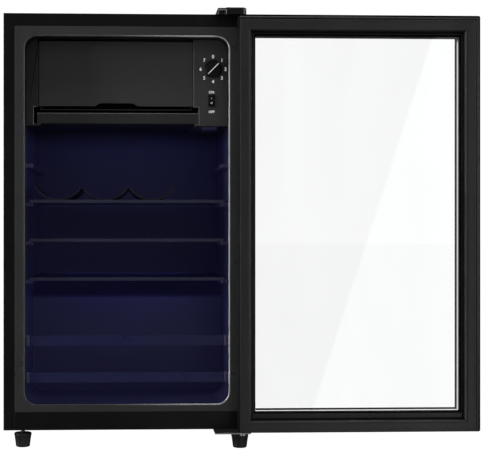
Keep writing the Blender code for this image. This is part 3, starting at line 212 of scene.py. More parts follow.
def surface(
    name,
    dark,
    light,
    rough=(0.35, 0.5),
    metallic=0.0,
    broad=5.0,
    grain=(900.0, 0.00003),
    soften=0.0008,
    edge_wear_and_light=None,
    edge_share=0.35,
    edge_even=0.0,
    smear=(1, 1, 1),
    dust=0.0,
    coat=0.0,
    specular=0.5,
    unlit_above=None,
    painted_light_along_x=None,
    seam=None,
    haze=None,
):
    """A moulded, painted or metal surface: blotches, grain, smudged gloss, soft edges, and along the
    edges a colour that is partly wear and partly painted light.

    dark and light are its colour range, rough its gloss range, grain the (scale, depth) of its fine
    bumps, soften the radius its edges are shaded with, and edge_wear_and_light the colour along them,
    in patches: partly wear, and partly a painted highlight where it is lighter than the surface and a
    painted shade line where it is darker. unlit_above is (height, colour) from which another colour
    starts: under that height the colour range stands partly for painted lamp light, and from it up the
    plain colour has none. painted_light_along_x is (start, end, colour), the same along X: towards one
    side a painted highlight where the colour is lighter, painted shade where it is darker. seam is the
    height of a weld bead, and haze a faint even glow, which is painted lamp light.
    """
    g = Graph(name)
    place = g.coords()
    blotch = g.remap(g.noise(place, broad, 4.0, 0.6), 0.32, 0.68, 0.0, 1.0)
    colour = g.mix(blotch, rgb(dark), rgb(light))
    smudge = g.noise(g.stretch(place, smear), 16.0, 8.0, 0.65, 0.4)
    gloss = g.remap(smudge, 0.34, 0.66, rough[0], rough[1])
    normal = g.rounded(soften) if soften else None
    shine = specular
    # Colour along the edges, in patches: partly wear, partly a painted highlight where it is lighter and
    # a painted shade line where it is darker; a darker edge also loses its shine.
    if edge_wear_and_light:
        patches = g.remap(g.noise(place, 60.0, 5.0, 0.7), 0.45, 0.62, edge_share * edge_even, edge_share)
        mask = g.math("MULTIPLY", g.edges(normal), patches)
        colour = g.mix(mask, colour, rgb(edge_wear_and_light))
        if max(edge_wear_and_light) < max(light):
            shine = g.math("MULTIPLY_ADD", mask, -specular, specular)
    # Painted light along X: towards one side the colour turns to the given one, a painted highlight
    # where it is lighter and painted shade where it is darker.
    if painted_light_along_x:
        along = g.axes(place)[0]
        colour = g.mix(g.remap(along, painted_light_along_x[0], painted_light_along_x[1], 0.0, 1.0, True), colour, rgb(painted_light_along_x[2]))
    # Painted lamp light: under the given height the colour range stands partly for the lamp's blue
    # light, and from that height up the plain colour has none.
    upper = 0.0
    if unlit_above:
        level = g.axes(g.node("NewGeometry").outputs["Position"])[2]
        upper = g.remap(level, unlit_above[0] - 0.02, unlit_above[0] + 0.02, 0.0, 1.0)
        colour = g.mix(upper, colour, rgb(unlit_above[1]))
    if dust:
        up = g.axes(g.node("NewGeometry").outputs["Normal"])[2]
        facing = g.remap(up, 0.6, 1.0, 0.0, dust)
        specks = g.remap(g.noise(place, 240.0, 4.0, 0.7), 0.45, 0.75, 0.1, 1.0)
        colour = g.mix(g.math("MULTIPLY", facing, specks), colour, rgb((0.30, 0.29, 0.28)))
    fine = g.noise(g.stretch(place, smear), grain[0], 3.0, 0.55)
    shaped = g.bump(fine, grain[1], normal)
    if seam:
        height = g.axes(g.node("NewGeometry").outputs["Position"])[2]
        away = g.math("ABSOLUTE", g.math("SUBTRACT", height, seam))
        bead = g.remap(away, 0.0005, 0.0030, 1.0, 0.0, True)
        beads = g.math("MULTIPLY", bead, g.math("ADD", g.noise(place, 320.0, 2.0), 0.6))
        shaped = g.bump(beads, 0.0016, shaped)
    shader = g.shader(Metallic=metallic)
    g.feed(shader.inputs["Base Color"], colour)
    g.feed(shader.inputs["Roughness"], gloss)
    g.feed(shader.inputs["Normal"], shaped)
    shader.inputs["Coat Weight"].default_value = coat
    shader.inputs["Coat Roughness"].default_value = 0.15
    g.feed(shader.inputs["Specular IOR Level"], shine)
    # Painted glow: a faint emission that stands for lamp light, with none where the plain colour starts.
    if haze:
        painted_glow = g.mix(blotch, rgb(haze), rgb([c * 1.25 for c in haze]))
        g.feed(shader.inputs["Emission Color"], g.mix(upper, painted_glow, rgb((0, 0, 0))))
        shader.inputs["Emission Strength"].default_value = 1.0
    return g.material


def galvanised(name, tone=0.34, rib_pitch=0.0):
    """Zinc-coated sheet with spangles and, if asked, pressed horizontal ribs."""
    g = Graph(name)
    place = g.coords()
    cells = g.node("TexVoronoi", Scale=90.0)
    g.feed(cells.inputs["Vector"], place)
    shade = g.node("SeparateXYZ")
    g.feed(shade.inputs[0], cells.outputs["Color"])
    spangle = g.math("MULTIPLY_ADD", shade.outputs["X"], 0.5, 0.25)
    stain = g.remap(g.noise(place, 7.0, 6.0, 0.7), 0.4, 0.7, 0.0, 0.5)
    base = g.mix(spangle, rgb((tone * 0.7,) * 3), rgb((tone * 1.25, tone * 1.28, tone * 1.3)))
    colour = g.mix(stain, base, rgb((tone * 0.6, tone * 0.58, tone * 0.55)))
    gloss = g.remap(shade.outputs["Y"], 0.0, 1.0, 0.32, 0.55)
    shader = g.shader(Metallic=0.55)
    g.feed(shader.inputs["Base Color"], colour)
    g.feed(shader.inputs["Roughness"], gloss)
    normal = g.bump(g.noise(place, 400.0, 4.0), 0.00003, g.rounded(0.0008))
    if rib_pitch:
        height = g.axes(g.node("NewGeometry").outputs["Position"])[2]
        along = g.math("PINGPONG", height, rib_pitch / 2)
        normal = g.bump(g.remap(along, 0.002, 0.005, 1.0, 0.0, True), 0.0015, normal)
    g.feed(shader.inputs["Normal"], normal)
    return g.material


def clear_glass(name, tint, mirror=0.09, streak=0.012):
    """Thin clear pane: what is behind shows straight through, with a faint mirror image in front."""
    g = Graph(name)
    place = g.coords()
    haze = g.noise(g.stretch(place, (3.0, 3.0, 0.8)), 3.0, 6.0, 0.6, 0.6)
    clear = g.node("BsdfTransparent")
    hazy = [channel * 0.992 for channel in tint]
    g.feed(clear.inputs["Color"], g.mix(g.remap(haze, 0.4, 0.7, 0.0, 1.0), rgb(tint), rgb(hazy)))
    gloss = g.node("BsdfGlossy")
    gloss.inputs["Color"].default_value = (0.95, 0.97, 1.0, 1.0)
    g.feed(gloss.inputs["Roughness"], g.remap(haze, 0.3, 0.7, 0.0, streak))
    facing = g.node("LayerWeight", Blend=0.12)
    amount = g.math("MULTIPLY_ADD", facing.outputs["Facing"], 0.5, mirror)
    mixed = g.node("MixShader")
    g.feed(mixed.inputs[0], amount)
    g.feed(mixed.inputs[1], clear.outputs[0])
    g.feed(mixed.inputs[2], gloss.outputs[0])
    g.feed(g.output.inputs["Surface"], mixed.outputs[0])
    return g.material


def spacer_metal(name, low, high):
    """Aluminium spacer: the inner walls of the right and bottom members painted bright and glowing as a
    painted reflection, the rest painted dark as shade, and darker at the far end of the walls by the
    sealant.
    """
    g = Graph(name)
    place = g.coords()
    x, _, z = g.axes(place)
    # Painted light: the walls of the right and bottom members take a bright colour and a glow, standing
    # for the mirrored white surroundings; elsewhere the metal is painted dark as shade.
    across = g.remap(x, low.x, high.x, 0.0, 1.0)
    down = g.remap(z, low.z, high.z, 1.0, 0.0)
    side = g.remap(g.math("ADD", across, down), 0.995, 1.005, 0.0, 1.0)
    depth = g.axes(g.node("NewGeometry").outputs["Normal"])[1]
    lit = g.math("MULTIPLY", side, g.remap(g.math("ABSOLUTE", depth), 0.80, 0.92, 1.0, 0.0))
    sealant = g.remap(g.axes(place)[1], high.y - 0.0040, high.y - 0.0032, 1.0, 0.0)
    lit = g.math("MULTIPLY", lit, sealant)
    brushed = g.noise(g.stretch(place, (40, 40, 40)), 12.0, 4.0)
    metal = g.mix(brushed, rgb((0.62, 0.63, 0.64)), rgb((0.80, 0.81, 0.82)))
    shaded_metal = g.mix(brushed, rgb((0.010, 0.010, 0.011)), rgb((0.020, 0.020, 0.022)))
    shader = g.shader()
    g.feed(shader.inputs["Base Color"], g.mix(lit, shaded_metal, metal))
    g.feed(shader.inputs["Metallic"], g.math("MULTIPLY", lit, 0.35))
    g.feed(shader.inputs["Roughness"], g.remap(brushed, 0.3, 0.7, 0.32, 0.5))
    g.feed(shader.inputs["Emission Color"], g.mix(lit, rgb((0, 0, 0)), rgb((1, 1, 1))))
    shader.inputs["Emission Strength"].default_value = 0.55
    g.feed(shader.inputs["Normal"], g.bump(g.noise(place, 900.0, 3.0), 0.00002, g.rounded(0.0003)))
    return g.material


def seal_rubber(name, low, high):
    """Vinyl seal with mitred, welded corners; lighter patches along its edges, partly wear and partly
    painted highlight; painted shade towards the door's free side and deep at its root.
    """
    g = Graph(name)
    place = g.coords()
    x, _, z = g.axes(place)
    middle = (low + high) / 2
    half = (high - low) / 2
    a = g.math("SUBTRACT", g.math("ABSOLUTE", g.math("SUBTRACT", x, middle.x)), half.x)
    b = g.math("SUBTRACT", g.math("ABSOLUTE", g.math("SUBTRACT", z, middle.z)), half.z)
    wobble = g.math("MULTIPLY_ADD", g.noise(place, 150.0, 3.0), 0.0012, -0.0006)
    apart = g.math("ABSOLUTE", g.math("ADD", g.math("SUBTRACT", a, b), wobble))
    weld = g.remap(apart, 0.0004, 0.0011, 1.0, 0.0)
    blotch = g.remap(g.noise(place, 8.0, 4.0, 0.6), 0.32, 0.68, 0.0, 1.0)
    colour = g.mix(blotch, rgb((0.020, 0.0197, 0.0205)), rgb((0.026, 0.0255, 0.0265)))
    colour = g.mix(g.math("MULTIPLY", weld, 0.75), colour, rgb((0.003, 0.003, 0.003)))
    # Painted shade: darker towards the door's free side.
    shaded = g.remap(x, high.x - 0.07, high.x - 0.02, 0.0, 0.65)
    colour = g.mix(shaded, colour, rgb((0.004, 0.004, 0.004)))
    normal = g.rounded(0.0010)
    # Lighter along the edges in patches: partly wear, partly painted highlight.
    patches = g.remap(g.noise(place, 60.0, 5.0, 0.7), 0.4, 0.65, 0.1, 0.5)
    edge_wear_and_light = g.math("MULTIPLY", g.edges(normal), patches)
    colour = g.mix(edge_wear_and_light, colour, rgb((0.05, 0.05, 0.052)))
    # Painted shade: near-black and less shiny deep in the seal, towards its root.
    depth = g.axes(place)[1]
    recess_shade = g.remap(depth, low.y + 0.0012, low.y + 0.0070, 0.0, 0.93)
    colour = g.mix(recess_shade, colour, rgb((0.001, 0.001, 0.001)))
    smudge = g.noise(place, 16.0, 8.0, 0.65, 0.4)
    ripple = g.noise(place, 260.0, 4.0)
    height = g.math("SUBTRACT", ripple, g.math("MULTIPLY", weld, 4.0))
    shader = g.shader()
    g.feed(shader.inputs["Base Color"], colour)
    g.feed(shader.inputs["Roughness"], g.remap(smudge, 0.34, 0.66, 0.36, 0.50))
    g.feed(shader.inputs["Specular IOR Level"], g.math("MULTIPLY_ADD", recess_shade, -0.45, 0.5))
    g.feed(shader.inputs["Normal"], g.bump(height, 0.00008, normal))
    return g.material


def print_ink(name):
    """White pad-printed ink, slightly uneven, with a painted glow that makes it brighter than the lamps
    would.
    """
    g = Graph(name)
    place = g.coords()
    tone = g.remap(g.noise(place, 700.0, 3.0), 0.3, 0.7, 0.0, 1.0)
    colour = g.mix(tone, rgb((0.62, 0.62, 0.62)), rgb((0.85, 0.85, 0.85)))
    shader = g.shader()
    g.feed(shader.inputs["Base Color"], colour)
    # Painted glow: the ink gives off light of its own colour.
    g.feed(shader.inputs["Emission Color"], colour)
    shader.inputs["Emission Strength"].default_value = 0.55
    g.feed(shader.inputs["Roughness"], g.remap(tone, 0.0, 1.0, 0.5, 0.6))
    g.feed(shader.inputs["Normal"], g.bump(g.noise(place, 1500.0), 0.00001))
    return g.material


def glow(name, colour, strength):
    """Frosted, ribbed lamp lens with a faint glow."""
    g = Graph(name)
    place = g.coords()
    ribs = g.node("TexWave", {"wave_type": "BANDS", "bands_direction": "X"}, Scale=160.0)
    g.feed(ribs.inputs["Vector"], place)
    level = g.math("MULTIPLY_ADD", g.noise(place, 60.0, 3.0), 0.4 * strength, 0.8 * strength)
    shader = g.shader()
    shader.inputs["Base Color"].default_value = (0.035, 0.037, 0.080, 1.0)
    shader.inputs["Emission Color"].default_value = rgb(colour)
    g.feed(shader.inputs["Emission Strength"], level)
    g.feed(shader.inputs["Roughness"], g.remap(g.noise(place, 200.0), 0.3, 0.7, 0.3, 0.5))
    g.feed(shader.inputs["Normal"], g.bump(ribs.outputs["Fac"], 0.0002))
    return g.material


LOOKS = {}


def make_looks():
    """Every look, from the photo's colours; those that change with place take it from the nodes."""
    frame_low, frame_high = span("mouth_frame")
    door_high = span("door_frame")[1]
    tray_low = span("drip_tray")[0]
    compressor_low, compressor_high = span("compressor")
    LOOKS.update(
        enamel=surface(
            "black_enamel", (0.0052, 0.0052, 0.0055), (0.0072, 0.0072, 0.0075), (0.30, 0.42),
            grain=(1400.0, 0.00004), edge_wear_and_light=(0.05, 0.05, 0.052), dust=0.05, specular=0.32,
        ),
        # Near-black along every edge: a painted shade line round the door frame.
        profile=surface(
            "door_profile_black", (0.018, 0.018, 0.0185), (0.023, 0.023, 0.0235), (0.26, 0.38),
            grain=(1100.0, 0.00002), soften=0.004, edge_wear_and_light=(0.0015, 0.0015, 0.0015), edge_share=1.0,
            edge_even=0.8,
        ),
        trim=surface(
            "mouth_trim_gray", (0.048, 0.048, 0.050), (0.058, 0.058, 0.061), (0.26, 0.36),
            grain=(1300.0, 0.00002), soften=0.001, edge_wear_and_light=(0.07, 0.07, 0.075), edge_share=0.2,
        ),
        flap=surface(
            "flap_gray", (0.058, 0.058, 0.0585), (0.064, 0.064, 0.0645), (0.42, 0.52), broad=3.0,
            grain=(1600.0, 0.00003), edge_wear_and_light=(0.11, 0.11, 0.112), edge_share=0.7, edge_even=0.4,
        ),
        tray=surface(
            "tray_gray", (0.030, 0.031, 0.030), (0.035, 0.036, 0.0345), (0.38, 0.5),
            grain=(1600.0, 0.00003), edge_wear_and_light=(0.13, 0.13, 0.13), edge_share=0.8, edge_even=0.5,
        ),
        housing=surface(
            "housing_gray", (0.062, 0.062, 0.0625), (0.071, 0.071, 0.0715), (0.42, 0.55),
            grain=(1800.0, 0.00004), soften=0.001, edge_wear_and_light=(0.17, 0.17, 0.175), edge_share=0.9,
            edge_even=0.5,
        ),
        knob=surface(
            "knob_black", (0.008, 0.008, 0.008), (0.012, 0.012, 0.012), (0.25, 0.38),
            grain=(2000.0, 0.00002), soften=0.0005, edge_wear_and_light=(0.06, 0.06, 0.06),
        ),
        switch=surface(
            "switch_black", (0.006, 0.006, 0.006), (0.010, 0.010, 0.010), (0.18, 0.3),
            grain=(2000.0, 0.00001), soften=0.0004, edge_wear_and_light=(0.05, 0.05, 0.05), coat=0.3,
        ),
        # The navy stands partly for the blue lamp's light, painted into the colour; from a little under
        # the tray's bottom up the liner is near-black without it, and its faint glow is painted lamp
        # light.
        liner=surface(
            "liner_blue_black", (0.034, 0.034, 0.080), (0.044, 0.044, 0.100), (0.32, 0.46), broad=4.0,
            grain=(900.0, 0.00004), soften=0.006, edge_wear_and_light=(0.05, 0.05, 0.10), edge_share=0.1,
            unlit_above=(tray_low.z - 0.012, (0.010, 0.010, 0.0105)), haze=(0.0021, 0.0019, 0.0078),
        ),
        # The blue stands partly for the blue lamp's light, painted into the colour.
        rail=surface(
            "rail_blue_gray", (0.016, 0.018, 0.085), (0.021, 0.024, 0.105), (0.25, 0.38),
            grain=(1200.0, 0.00002), soften=0.001, edge_wear_and_light=(0.10, 0.10, 0.2), edge_share=0.3,
        ),
        rack=surface(
            "rack_smoke", (0.018, 0.018, 0.024), (0.026, 0.026, 0.034), (0.22, 0.34),
            grain=(1500.0, 0.00002), soften=0.0006, edge_wear_and_light=(0.10, 0.10, 0.13), edge_share=0.5,
        ),
        # The bluish tint stands partly for the blue lamp's light, painted into the colour.
        edging=surface(
            "shelf_edging", (0.035, 0.037, 0.075), (0.045, 0.048, 0.095), (0.25, 0.35),
            grain=(1500.0, 0.00002), soften=0.0005, edge_wear_and_light=(0.12, 0.12, 0.18), edge_share=0.4,
        ),
        sealant=surface(
            "sealant_and_shade_black", (0.0006, 0.0006, 0.0006), (0.0014, 0.0014, 0.0014), (0.5, 0.7),
            grain=(900.0, 0.00004), soften=0.0, specular=0.04,
        ),
        gasket=seal_rubber("seal_rubber", *span("door_gasket")),
        cap=surface(
            "cap_gloss_black", (0.003, 0.003, 0.0033), (0.0045, 0.0045, 0.0048), (0.09, 0.14),
            grain=(1500.0, 0.00001), soften=0.0008, edge_wear_and_light=(0.0005, 0.0005, 0.0005), specular=0.9,
        ),
        rubber=surface(
            "foot_rubber", (0.010, 0.010, 0.010), (0.017, 0.017, 0.017), (0.45, 0.65),
            grain=(1100.0, 0.00006), soften=0.0008, edge_wear_and_light=(0.06, 0.06, 0.058), dust=0.1,
        ),
        zinc=surface(
            "zinc_plate", (0.40, 0.40, 0.41), (0.52, 0.52, 0.52), (0.28, 0.42), metallic=1.0,
            grain=(700.0, 0.00003), soften=0.0006, edge_wear_and_light=(0.7, 0.7, 0.7), smear=(1, 8, 1),
        ),
        # The gray is darkened to stand for the shade in the gap under the flap: painted shade.
        aluminium=surface(
            "aluminium_darkened_as_shade", (0.10, 0.10, 0.105), (0.14, 0.14, 0.145), (0.34, 0.46), metallic=0.6,
            grain=(500.0, 0.00002), soften=0.0006, edge_wear_and_light=(0.85, 0.85, 0.86), smear=(1, 1, 14),
        ),
        spacer=spacer_metal("spacer_aluminium", *span("glazing_spacer")),
        copper=surface(
            "copper_pipe", (0.50, 0.21, 0.12), (0.72, 0.36, 0.22), (0.25, 0.45), metallic=1.0,
            broad=30.0, grain=(800.0, 0.00002), soften=0.0003, edge_wear_and_light=(0.85, 0.5, 0.35),
        ),
        foam=surface(
            "foam_yellow", (0.60, 0.50, 0.25), (0.75, 0.66, 0.36), (0.85, 0.95), grain=(600.0, 0.0004),
        ),
        print=print_ink("print_white"),
        # Turns near-white towards the right: a painted highlight on the mouth's right lip.
        bead=surface(
            "mouth_bead_gray", (0.09, 0.09, 0.095), (0.12, 0.12, 0.125), (0.14, 0.22), metallic=0.5,
            grain=(1500.0, 0.00001), soften=0.0,
            painted_light_along_x=(frame_low.x + 0.16, frame_high.x - 0.03, (0.85, 0.85, 0.87)),
        ),
        bracket=surface(
            "bracket_gray", (0.024, 0.024, 0.0245), (0.030, 0.030, 0.0305), (0.42, 0.55),
            grain=(1800.0, 0.00004), soften=0.001, edge_wear_and_light=(0.12, 0.12, 0.125), edge_share=0.8,
            edge_even=0.4,
        ),
        # Lighter than the door frame, a painted highlight on the moulding's top, and darker towards the
        # free side as painted shade.
        rim=surface(
            "door_rim_black", (0.034, 0.034, 0.0345), (0.042, 0.042, 0.0425), (0.24, 0.34),
            grain=(1100.0, 0.00002), soften=0.0,
            painted_light_along_x=(door_high.x - 0.05, door_high.x - 0.01, (0.013, 0.013, 0.013)),
        ),
        # Light gray on dark edges: painted highlights.
        lip=surface(
            "highlight_lip_gray", (0.30, 0.30, 0.305), (0.42, 0.42, 0.425), (0.22, 0.32),
            grain=(1800.0, 0.00002), soften=0.0,
        ),
        ribbed=galvanised("rear_sheet", 0.30, 0.06),
        welded=surface(
            "compressor_black", (0.0075, 0.0075, 0.008), (0.013, 0.013, 0.0135), (0.24, 0.40),
            grain=(500.0, 0.00008), soften=0.001, edge_wear_and_light=(0.06, 0.05, 0.045), dust=0.12,
            seam=(compressor_low.z + compressor_high.z) / 2,
        ),
        inner=surface(
            "inner_frame_black", (0.004, 0.004, 0.0042), (0.0065, 0.0065, 0.0068), (0.4, 0.55),
            grain=(1500.0, 0.00002), soften=0.0005, edge_wear_and_light=(0.03, 0.03, 0.03), edge_share=0.2,
        ),
        # Turns near-white towards the left: a painted highlight on the frame's outer left edge.
        edge=surface(
            "frame_edge_gray", (0.10, 0.10, 0.105), (0.14, 0.14, 0.145), (0.18, 0.28), metallic=0.5,
            grain=(1500.0, 0.00001), soften=0.0,
            painted_light_along_x=(frame_low.x + 0.10, frame_low.x + 0.02, (0.55, 0.55, 0.57)),
        ),
        galvanised=galvanised("galvanised_sheet"),
        glass=clear_glass("door_glass", (0.990, 0.991, 0.991), 0.02),
        shelf_glass=clear_glass("shelf_glass", (0.55, 0.58, 0.66), 0.05, 0.04),
        lamp=glow("lamp_frosted", (0.20, 0.25, 1.0), 0.012),
    )


NODE_LOOKS = {
    "enamel": "cabinet_shell bottom_front_rail compressor_foot_plate",
    "welded": "compressor",
    "ribbed": "rear_panel",
    "profile": "door_frame",
    "trim": "mouth_frame door_bush_top door_bush_bottom",
    "flap": "freezer_flap",
    "tray": "drip_tray",
    "bracket": "freezer_side_bracket",
    "housing": "control_housing evaporator_hanger relay_cover evaporation_pan",
    "inner": "door_inner_frame",
    "knob": "thermostat_knob",
    "switch": "switch_body switch_rocker",
    "liner": "inner_liner",
    "rail": "guard_rail_upper guard_rail_lower",
    "rack": "bottle_rack",
    "edging": "shelf_trim_lower shelf_trim_middle shelf_trim_upper",
    "gasket": "door_gasket",
    "cap": "top_hinge_cover",
    "rubber": "foot_front_left foot_front_right foot_rear_left foot_rear_right cord_gland drain_tube "
    "compressor_grommet_1 compressor_grommet_2 compressor_grommet_3 compressor_grommet_4",
    "zinc": "top_hinge_plate top_hinge_pin lower_hinge_pin lower_hinge_plate thermostat_body",
    "aluminium": "evaporator_box",
    "spacer": "glazing_spacer",
    "copper": "suction_pipe discharge_pipe condenser_tube filter_drier",
    "foam": "cabinet_foam",
    "galvanised": "bottom_plate compressor_space_panel compressor_plate",
    "glass": "door_outer_pane door_inner_pane",
    "shelf_glass": "shelf_plate_lower shelf_plate_middle shelf_plate_upper",
    "lamp": "lamp_lens",
}


def dress_nodes():
    """Gives every carried-over node its look."""
    for look, names in NODE_LOOKS.items():
        for name in names.split():
            slots = NODES[name].data.materials
            if not slots:
                slots.append(LOOKS[look])
            for i in range(len(slots)):
                slots[i] = LOOKS[look]


# ---- mesh building ------------------------------------------------------------------------------
def piece(name, mesh, body, look, replaces=(), smooth=None):
    """Adds a mesh (bmesh or mesh data) in place, riding on a body."""
    if isinstance(mesh, bmesh.types.BMesh):
        bmesh.ops.recalc_face_normals(mesh, faces=mesh.faces)
        data = bpy.data.meshes.new(name)
        mesh.to_mesh(data)
        mesh.free()
    else:
        data = mesh
        data.name = name
    data.materials.clear()
    data.materials.append(LOOKS[look])
    if smooth is not None:
        data.shade_smooth()
        data.set_sharp_from_angle(angle=math.radians(smooth))
    made = bpy.data.objects.new(name, data)
    bpy.context.scene.collection.objects.link(made)
    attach(made, body)
    if replaces:
        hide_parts(*replaces)
    return made


def merge(into, other):
    """Copies one bmesh into another and frees it."""
    data = bpy.data.meshes.new("temporary")
    other.to_mesh(data)
    other.free()
    into.from_mesh(data)
    bpy.data.meshes.remove(data)
    return into


def lathe(profile, place, axis="Z", steps=32, radius_at=None):
    """Solid of revolution; radius_at(turn, radius, height) may shape the wall."""
    shape = bmesh.new()
    place = Vector(place)

    def lift(along, u, v):
        if axis == "X":
            return Vector((along, u, v)) + place
        if axis == "Y":
            return Vector((u, along, v)) + place
        return Vector((u, v, along)) + place

    rings = []
    for radius, height in profile:
        if radius == 0:
            rings.append([shape.verts.new(lift(height, 0, 0))])
            continue
        circle = []
        for k in range(steps):
            turn = 2 * math.pi * k / steps
            reach = radius_at(turn, radius, height) if radius_at else radius
            u, v = reach * math.cos(turn), reach * math.sin(turn)
            circle.append(shape.verts.new(lift(height, u, v)))
        rings.append(circle)
    for one, two in zip(rings, rings[1:]):
        for k in range(steps):
            n = (k + 1) % steps
            if len(one) == 1:
                shape.faces.new((one[0], two[k], two[n]))
            elif len(two) == 1:
                shape.faces.new((one[k], one[n], two[0]))
            else:
                shape.faces.new((one[k], one[n], two[n], two[k]))
    return shape


def ring_loops(sections):
    """Joins closed outlines, given as lists of points, the last to the first."""
    shape = bmesh.new()
    rings = [[shape.verts.new(p) for p in outline] for outline in sections]
    count = len(rings[0])
    for i, one in enumerate(rings):
        two = rings[(i + 1) % len(rings)]
        for k in range(count):
            n = (k + 1) % count
            shape.faces.new((one[k], one[n], two[n], two[k]))
    return shape


def loft(sections):
    """Joins closed outlines, given as lists of points, and caps both ends."""
    shape = bmesh.new()
    rings = [[shape.verts.new(p) for p in outline] for outline in sections]
    count = len(rings[0])
    for one, two in zip(rings, rings[1:]):
        for k in range(count):
            n = (k + 1) % count
            shape.faces.new((one[k], one[n], two[n], two[k]))
    shape.faces.new(rings[0])
    shape.faces.new(rings[-1])
    return shape


def round_rect(left, low, right, high, radius, steps=5):
    """Closed outline of a rectangle with rounded corners, as (x, z) points."""
    points = []
    corners = (
        (right - radius, low + radius, -90),
        (right - radius, high - radius, 0),
        (left + radius, high - radius, 90),
        (left + radius, low + radius, 180),
    )
    for u, v, start in corners:
        for i in range(steps + 1):
            turn = math.radians(start + 90 * i / steps)
            points.append((u + radius * math.cos(turn), v + radius * math.sin(turn)))
    return points


def inset_loop(box, inset, y, corner, steps=2):
    """A box's front outline, moved in by inset and rounded, as points at depth y."""
    low, high = box
    left, right = low.x + inset, high.x - inset
    outline = round_rect(left, low.z + inset, right, high.z - inset, corner, steps)
    return [(x, y, z) for x, z in outline]


def circle(inset, y, radius, steps):
    """A round section, as (inset, y) points."""
    turns = [2 * math.pi * i / steps for i in range(steps)]
    return [(inset + radius * math.cos(turn), y + radius * math.sin(turn)) for turn in turns]


def bar(low, high, soft):
    """A block with rounded long edges, soft in radius."""
    shape = bmesh.new()
    low, high = Vector(low), Vector(high)
    size = Matrix.Diagonal((*(high - low), 1))
    bmesh.ops.create_cube(shape, size=1.0, matrix=Matrix.Translation((low + high) / 2) @ size)
    bmesh.ops.bevel(
        shape, geom=list(shape.edges), offset=soft, segments=3, profile=0.5, affect="EDGES"
    )
    return shape


def lettering(words, size, depth=0.0001, bold=0.0):
    """Mesh of several short texts facing -Y, each given as (text, place)."""
    shape = bmesh.new()
    for text, place in words:
        curve = bpy.data.curves.new("letters", "FONT")
        curve.body = text
        curve.size = size
        curve.align_x = "CENTER"
        curve.align_y = "CENTER"
        curve.extrude = depth
        curve.resolution_u = 3
        curve.offset = bold
        holder = bpy.data.objects.new("letters", curve)
        bpy.context.scene.collection.objects.link(holder)
        view = bpy.context.evaluated_depsgraph_get()
        mesh = bpy.data.meshes.new_from_object(holder.evaluated_get(view))
        mesh.transform(Matrix.Translation(place) @ Matrix.Rotation(math.pi / 2, 4, "X"))
        shape.from_mesh(mesh)
        bpy.data.objects.remove(holder, do_unlink=True)
        bpy.data.curves.remove(curve)
        bpy.data.meshes.remove(mesh)
    return shape


# ---- pieces -------------------------------------------------------------------------------------
def soften(node, width, segments=2, angle=35):
    """A small rounding on a carried-over node's edges."""
    change = NODES[node].modifiers.new("soft_edges", "BEVEL")
    change.width = width
    change.segments = segments
    change.limit_method = "ANGLE"
    change.angle_limit = math.radians(angle)
    change.use_clamp_overlap = True


def foot(name, node, body, stud):
    """Tapered foot with fluted sides and, on a levelling foot, a threaded stud."""
    low, high = span(node)
    middle = (low + high) / 2
    wide = (high.x - low.x) / 2
    cup = min(0.027, high.z - 0.003) if stud else high.z
    narrow = wide * 0.82
    flutes = 14

    def fluted(turn, radius, height):
        if 0.0045 < height < cup - 0.0055:
            return radius * (1 - 0.05 * (0.5 + 0.5 * math.cos(flutes * turn)))
        return radius

    profile = [
        (0, 0.0006),
        (narrow * 0.70, 0.0006),
        (narrow * 0.74, 0.0),
        (narrow - 0.002, 0.0),
        (narrow - 0.0006, 0.0008),
        (narrow, 0.0028),
        (narrow + 0.0002, 0.0042),
        (narrow + 0.0003, 0.0052),
        (narrow + (wide - narrow) * 0.5, cup * 0.5),
        (wide - 0.0004, cup - 0.0062),
        (wide - 0.0002, cup - 0.0050),
        (wide, cup - 0.0040),
        (wide, cup - 0.0012),
        (wide - 0.0010, cup - 0.0002),
        (wide - 0.0022, cup),
        (0.0072, cup),
        (0, cup),
    ]
    shape = lathe(profile, (middle.x, middle.y, 0), steps=112, radius_at=fluted)
    piece(name, shape, body, "rubber", (node,), smooth=50)
    if stud:
        top = high.z
        thread = [(0, cup + 0.0001)]
        turns = 5
        for i in range(turns * 2 + 1):
            height = cup + 0.0002 + (top - cup - 0.0003) * i / (turns * 2)
            thread.append((0.0040 if i % 2 else 0.0034, height))
        thread.append((0, top))
        shape = lathe(thread, (middle.x, middle.y, 0), steps=24)
        piece(name + "_stud", shape, body, "zinc", smooth=60)


def bolt_head(place, radius):
    """Pan head with a cross recess, facing up, its flat side on the surface at place."""
    high = radius * 0.55
    dish = radius * 0.34
    profile = [
        (0, high * 0.30),
        (dish * 0.5, high * 0.34),
        (dish, high * 0.98),
        (radius * 0.62, high),
        (radius * 0.88, high * 0.72),
        (radius, high * 0.30),
        (radius, 0.00005),
        (0, 0.00005),
    ]

    def crossed(turn, reach, height):
        if reach <= dish * 1.01:
            return reach * (0.45 + 0.75 * abs(math.cos(2 * turn)) ** 3)
        return reach

    return lathe(profile, place, radius_at=crossed)


def compressor_bolts():
    """Bolt heads over the four rubber mounts of the compressor."""
    top = span("compressor_foot_plate")[1].z
    whole = bmesh.new()
    for number in range(1, 5):
        low, high = span("compressor_grommet_%d" % number)
        merge(whole, bolt_head(((low.x + high.x) / 2, (low.y + high.y) / 2, top), 0.0045))
    piece("compressor_bolts", whole, "cabinet", "zinc", smooth=40)


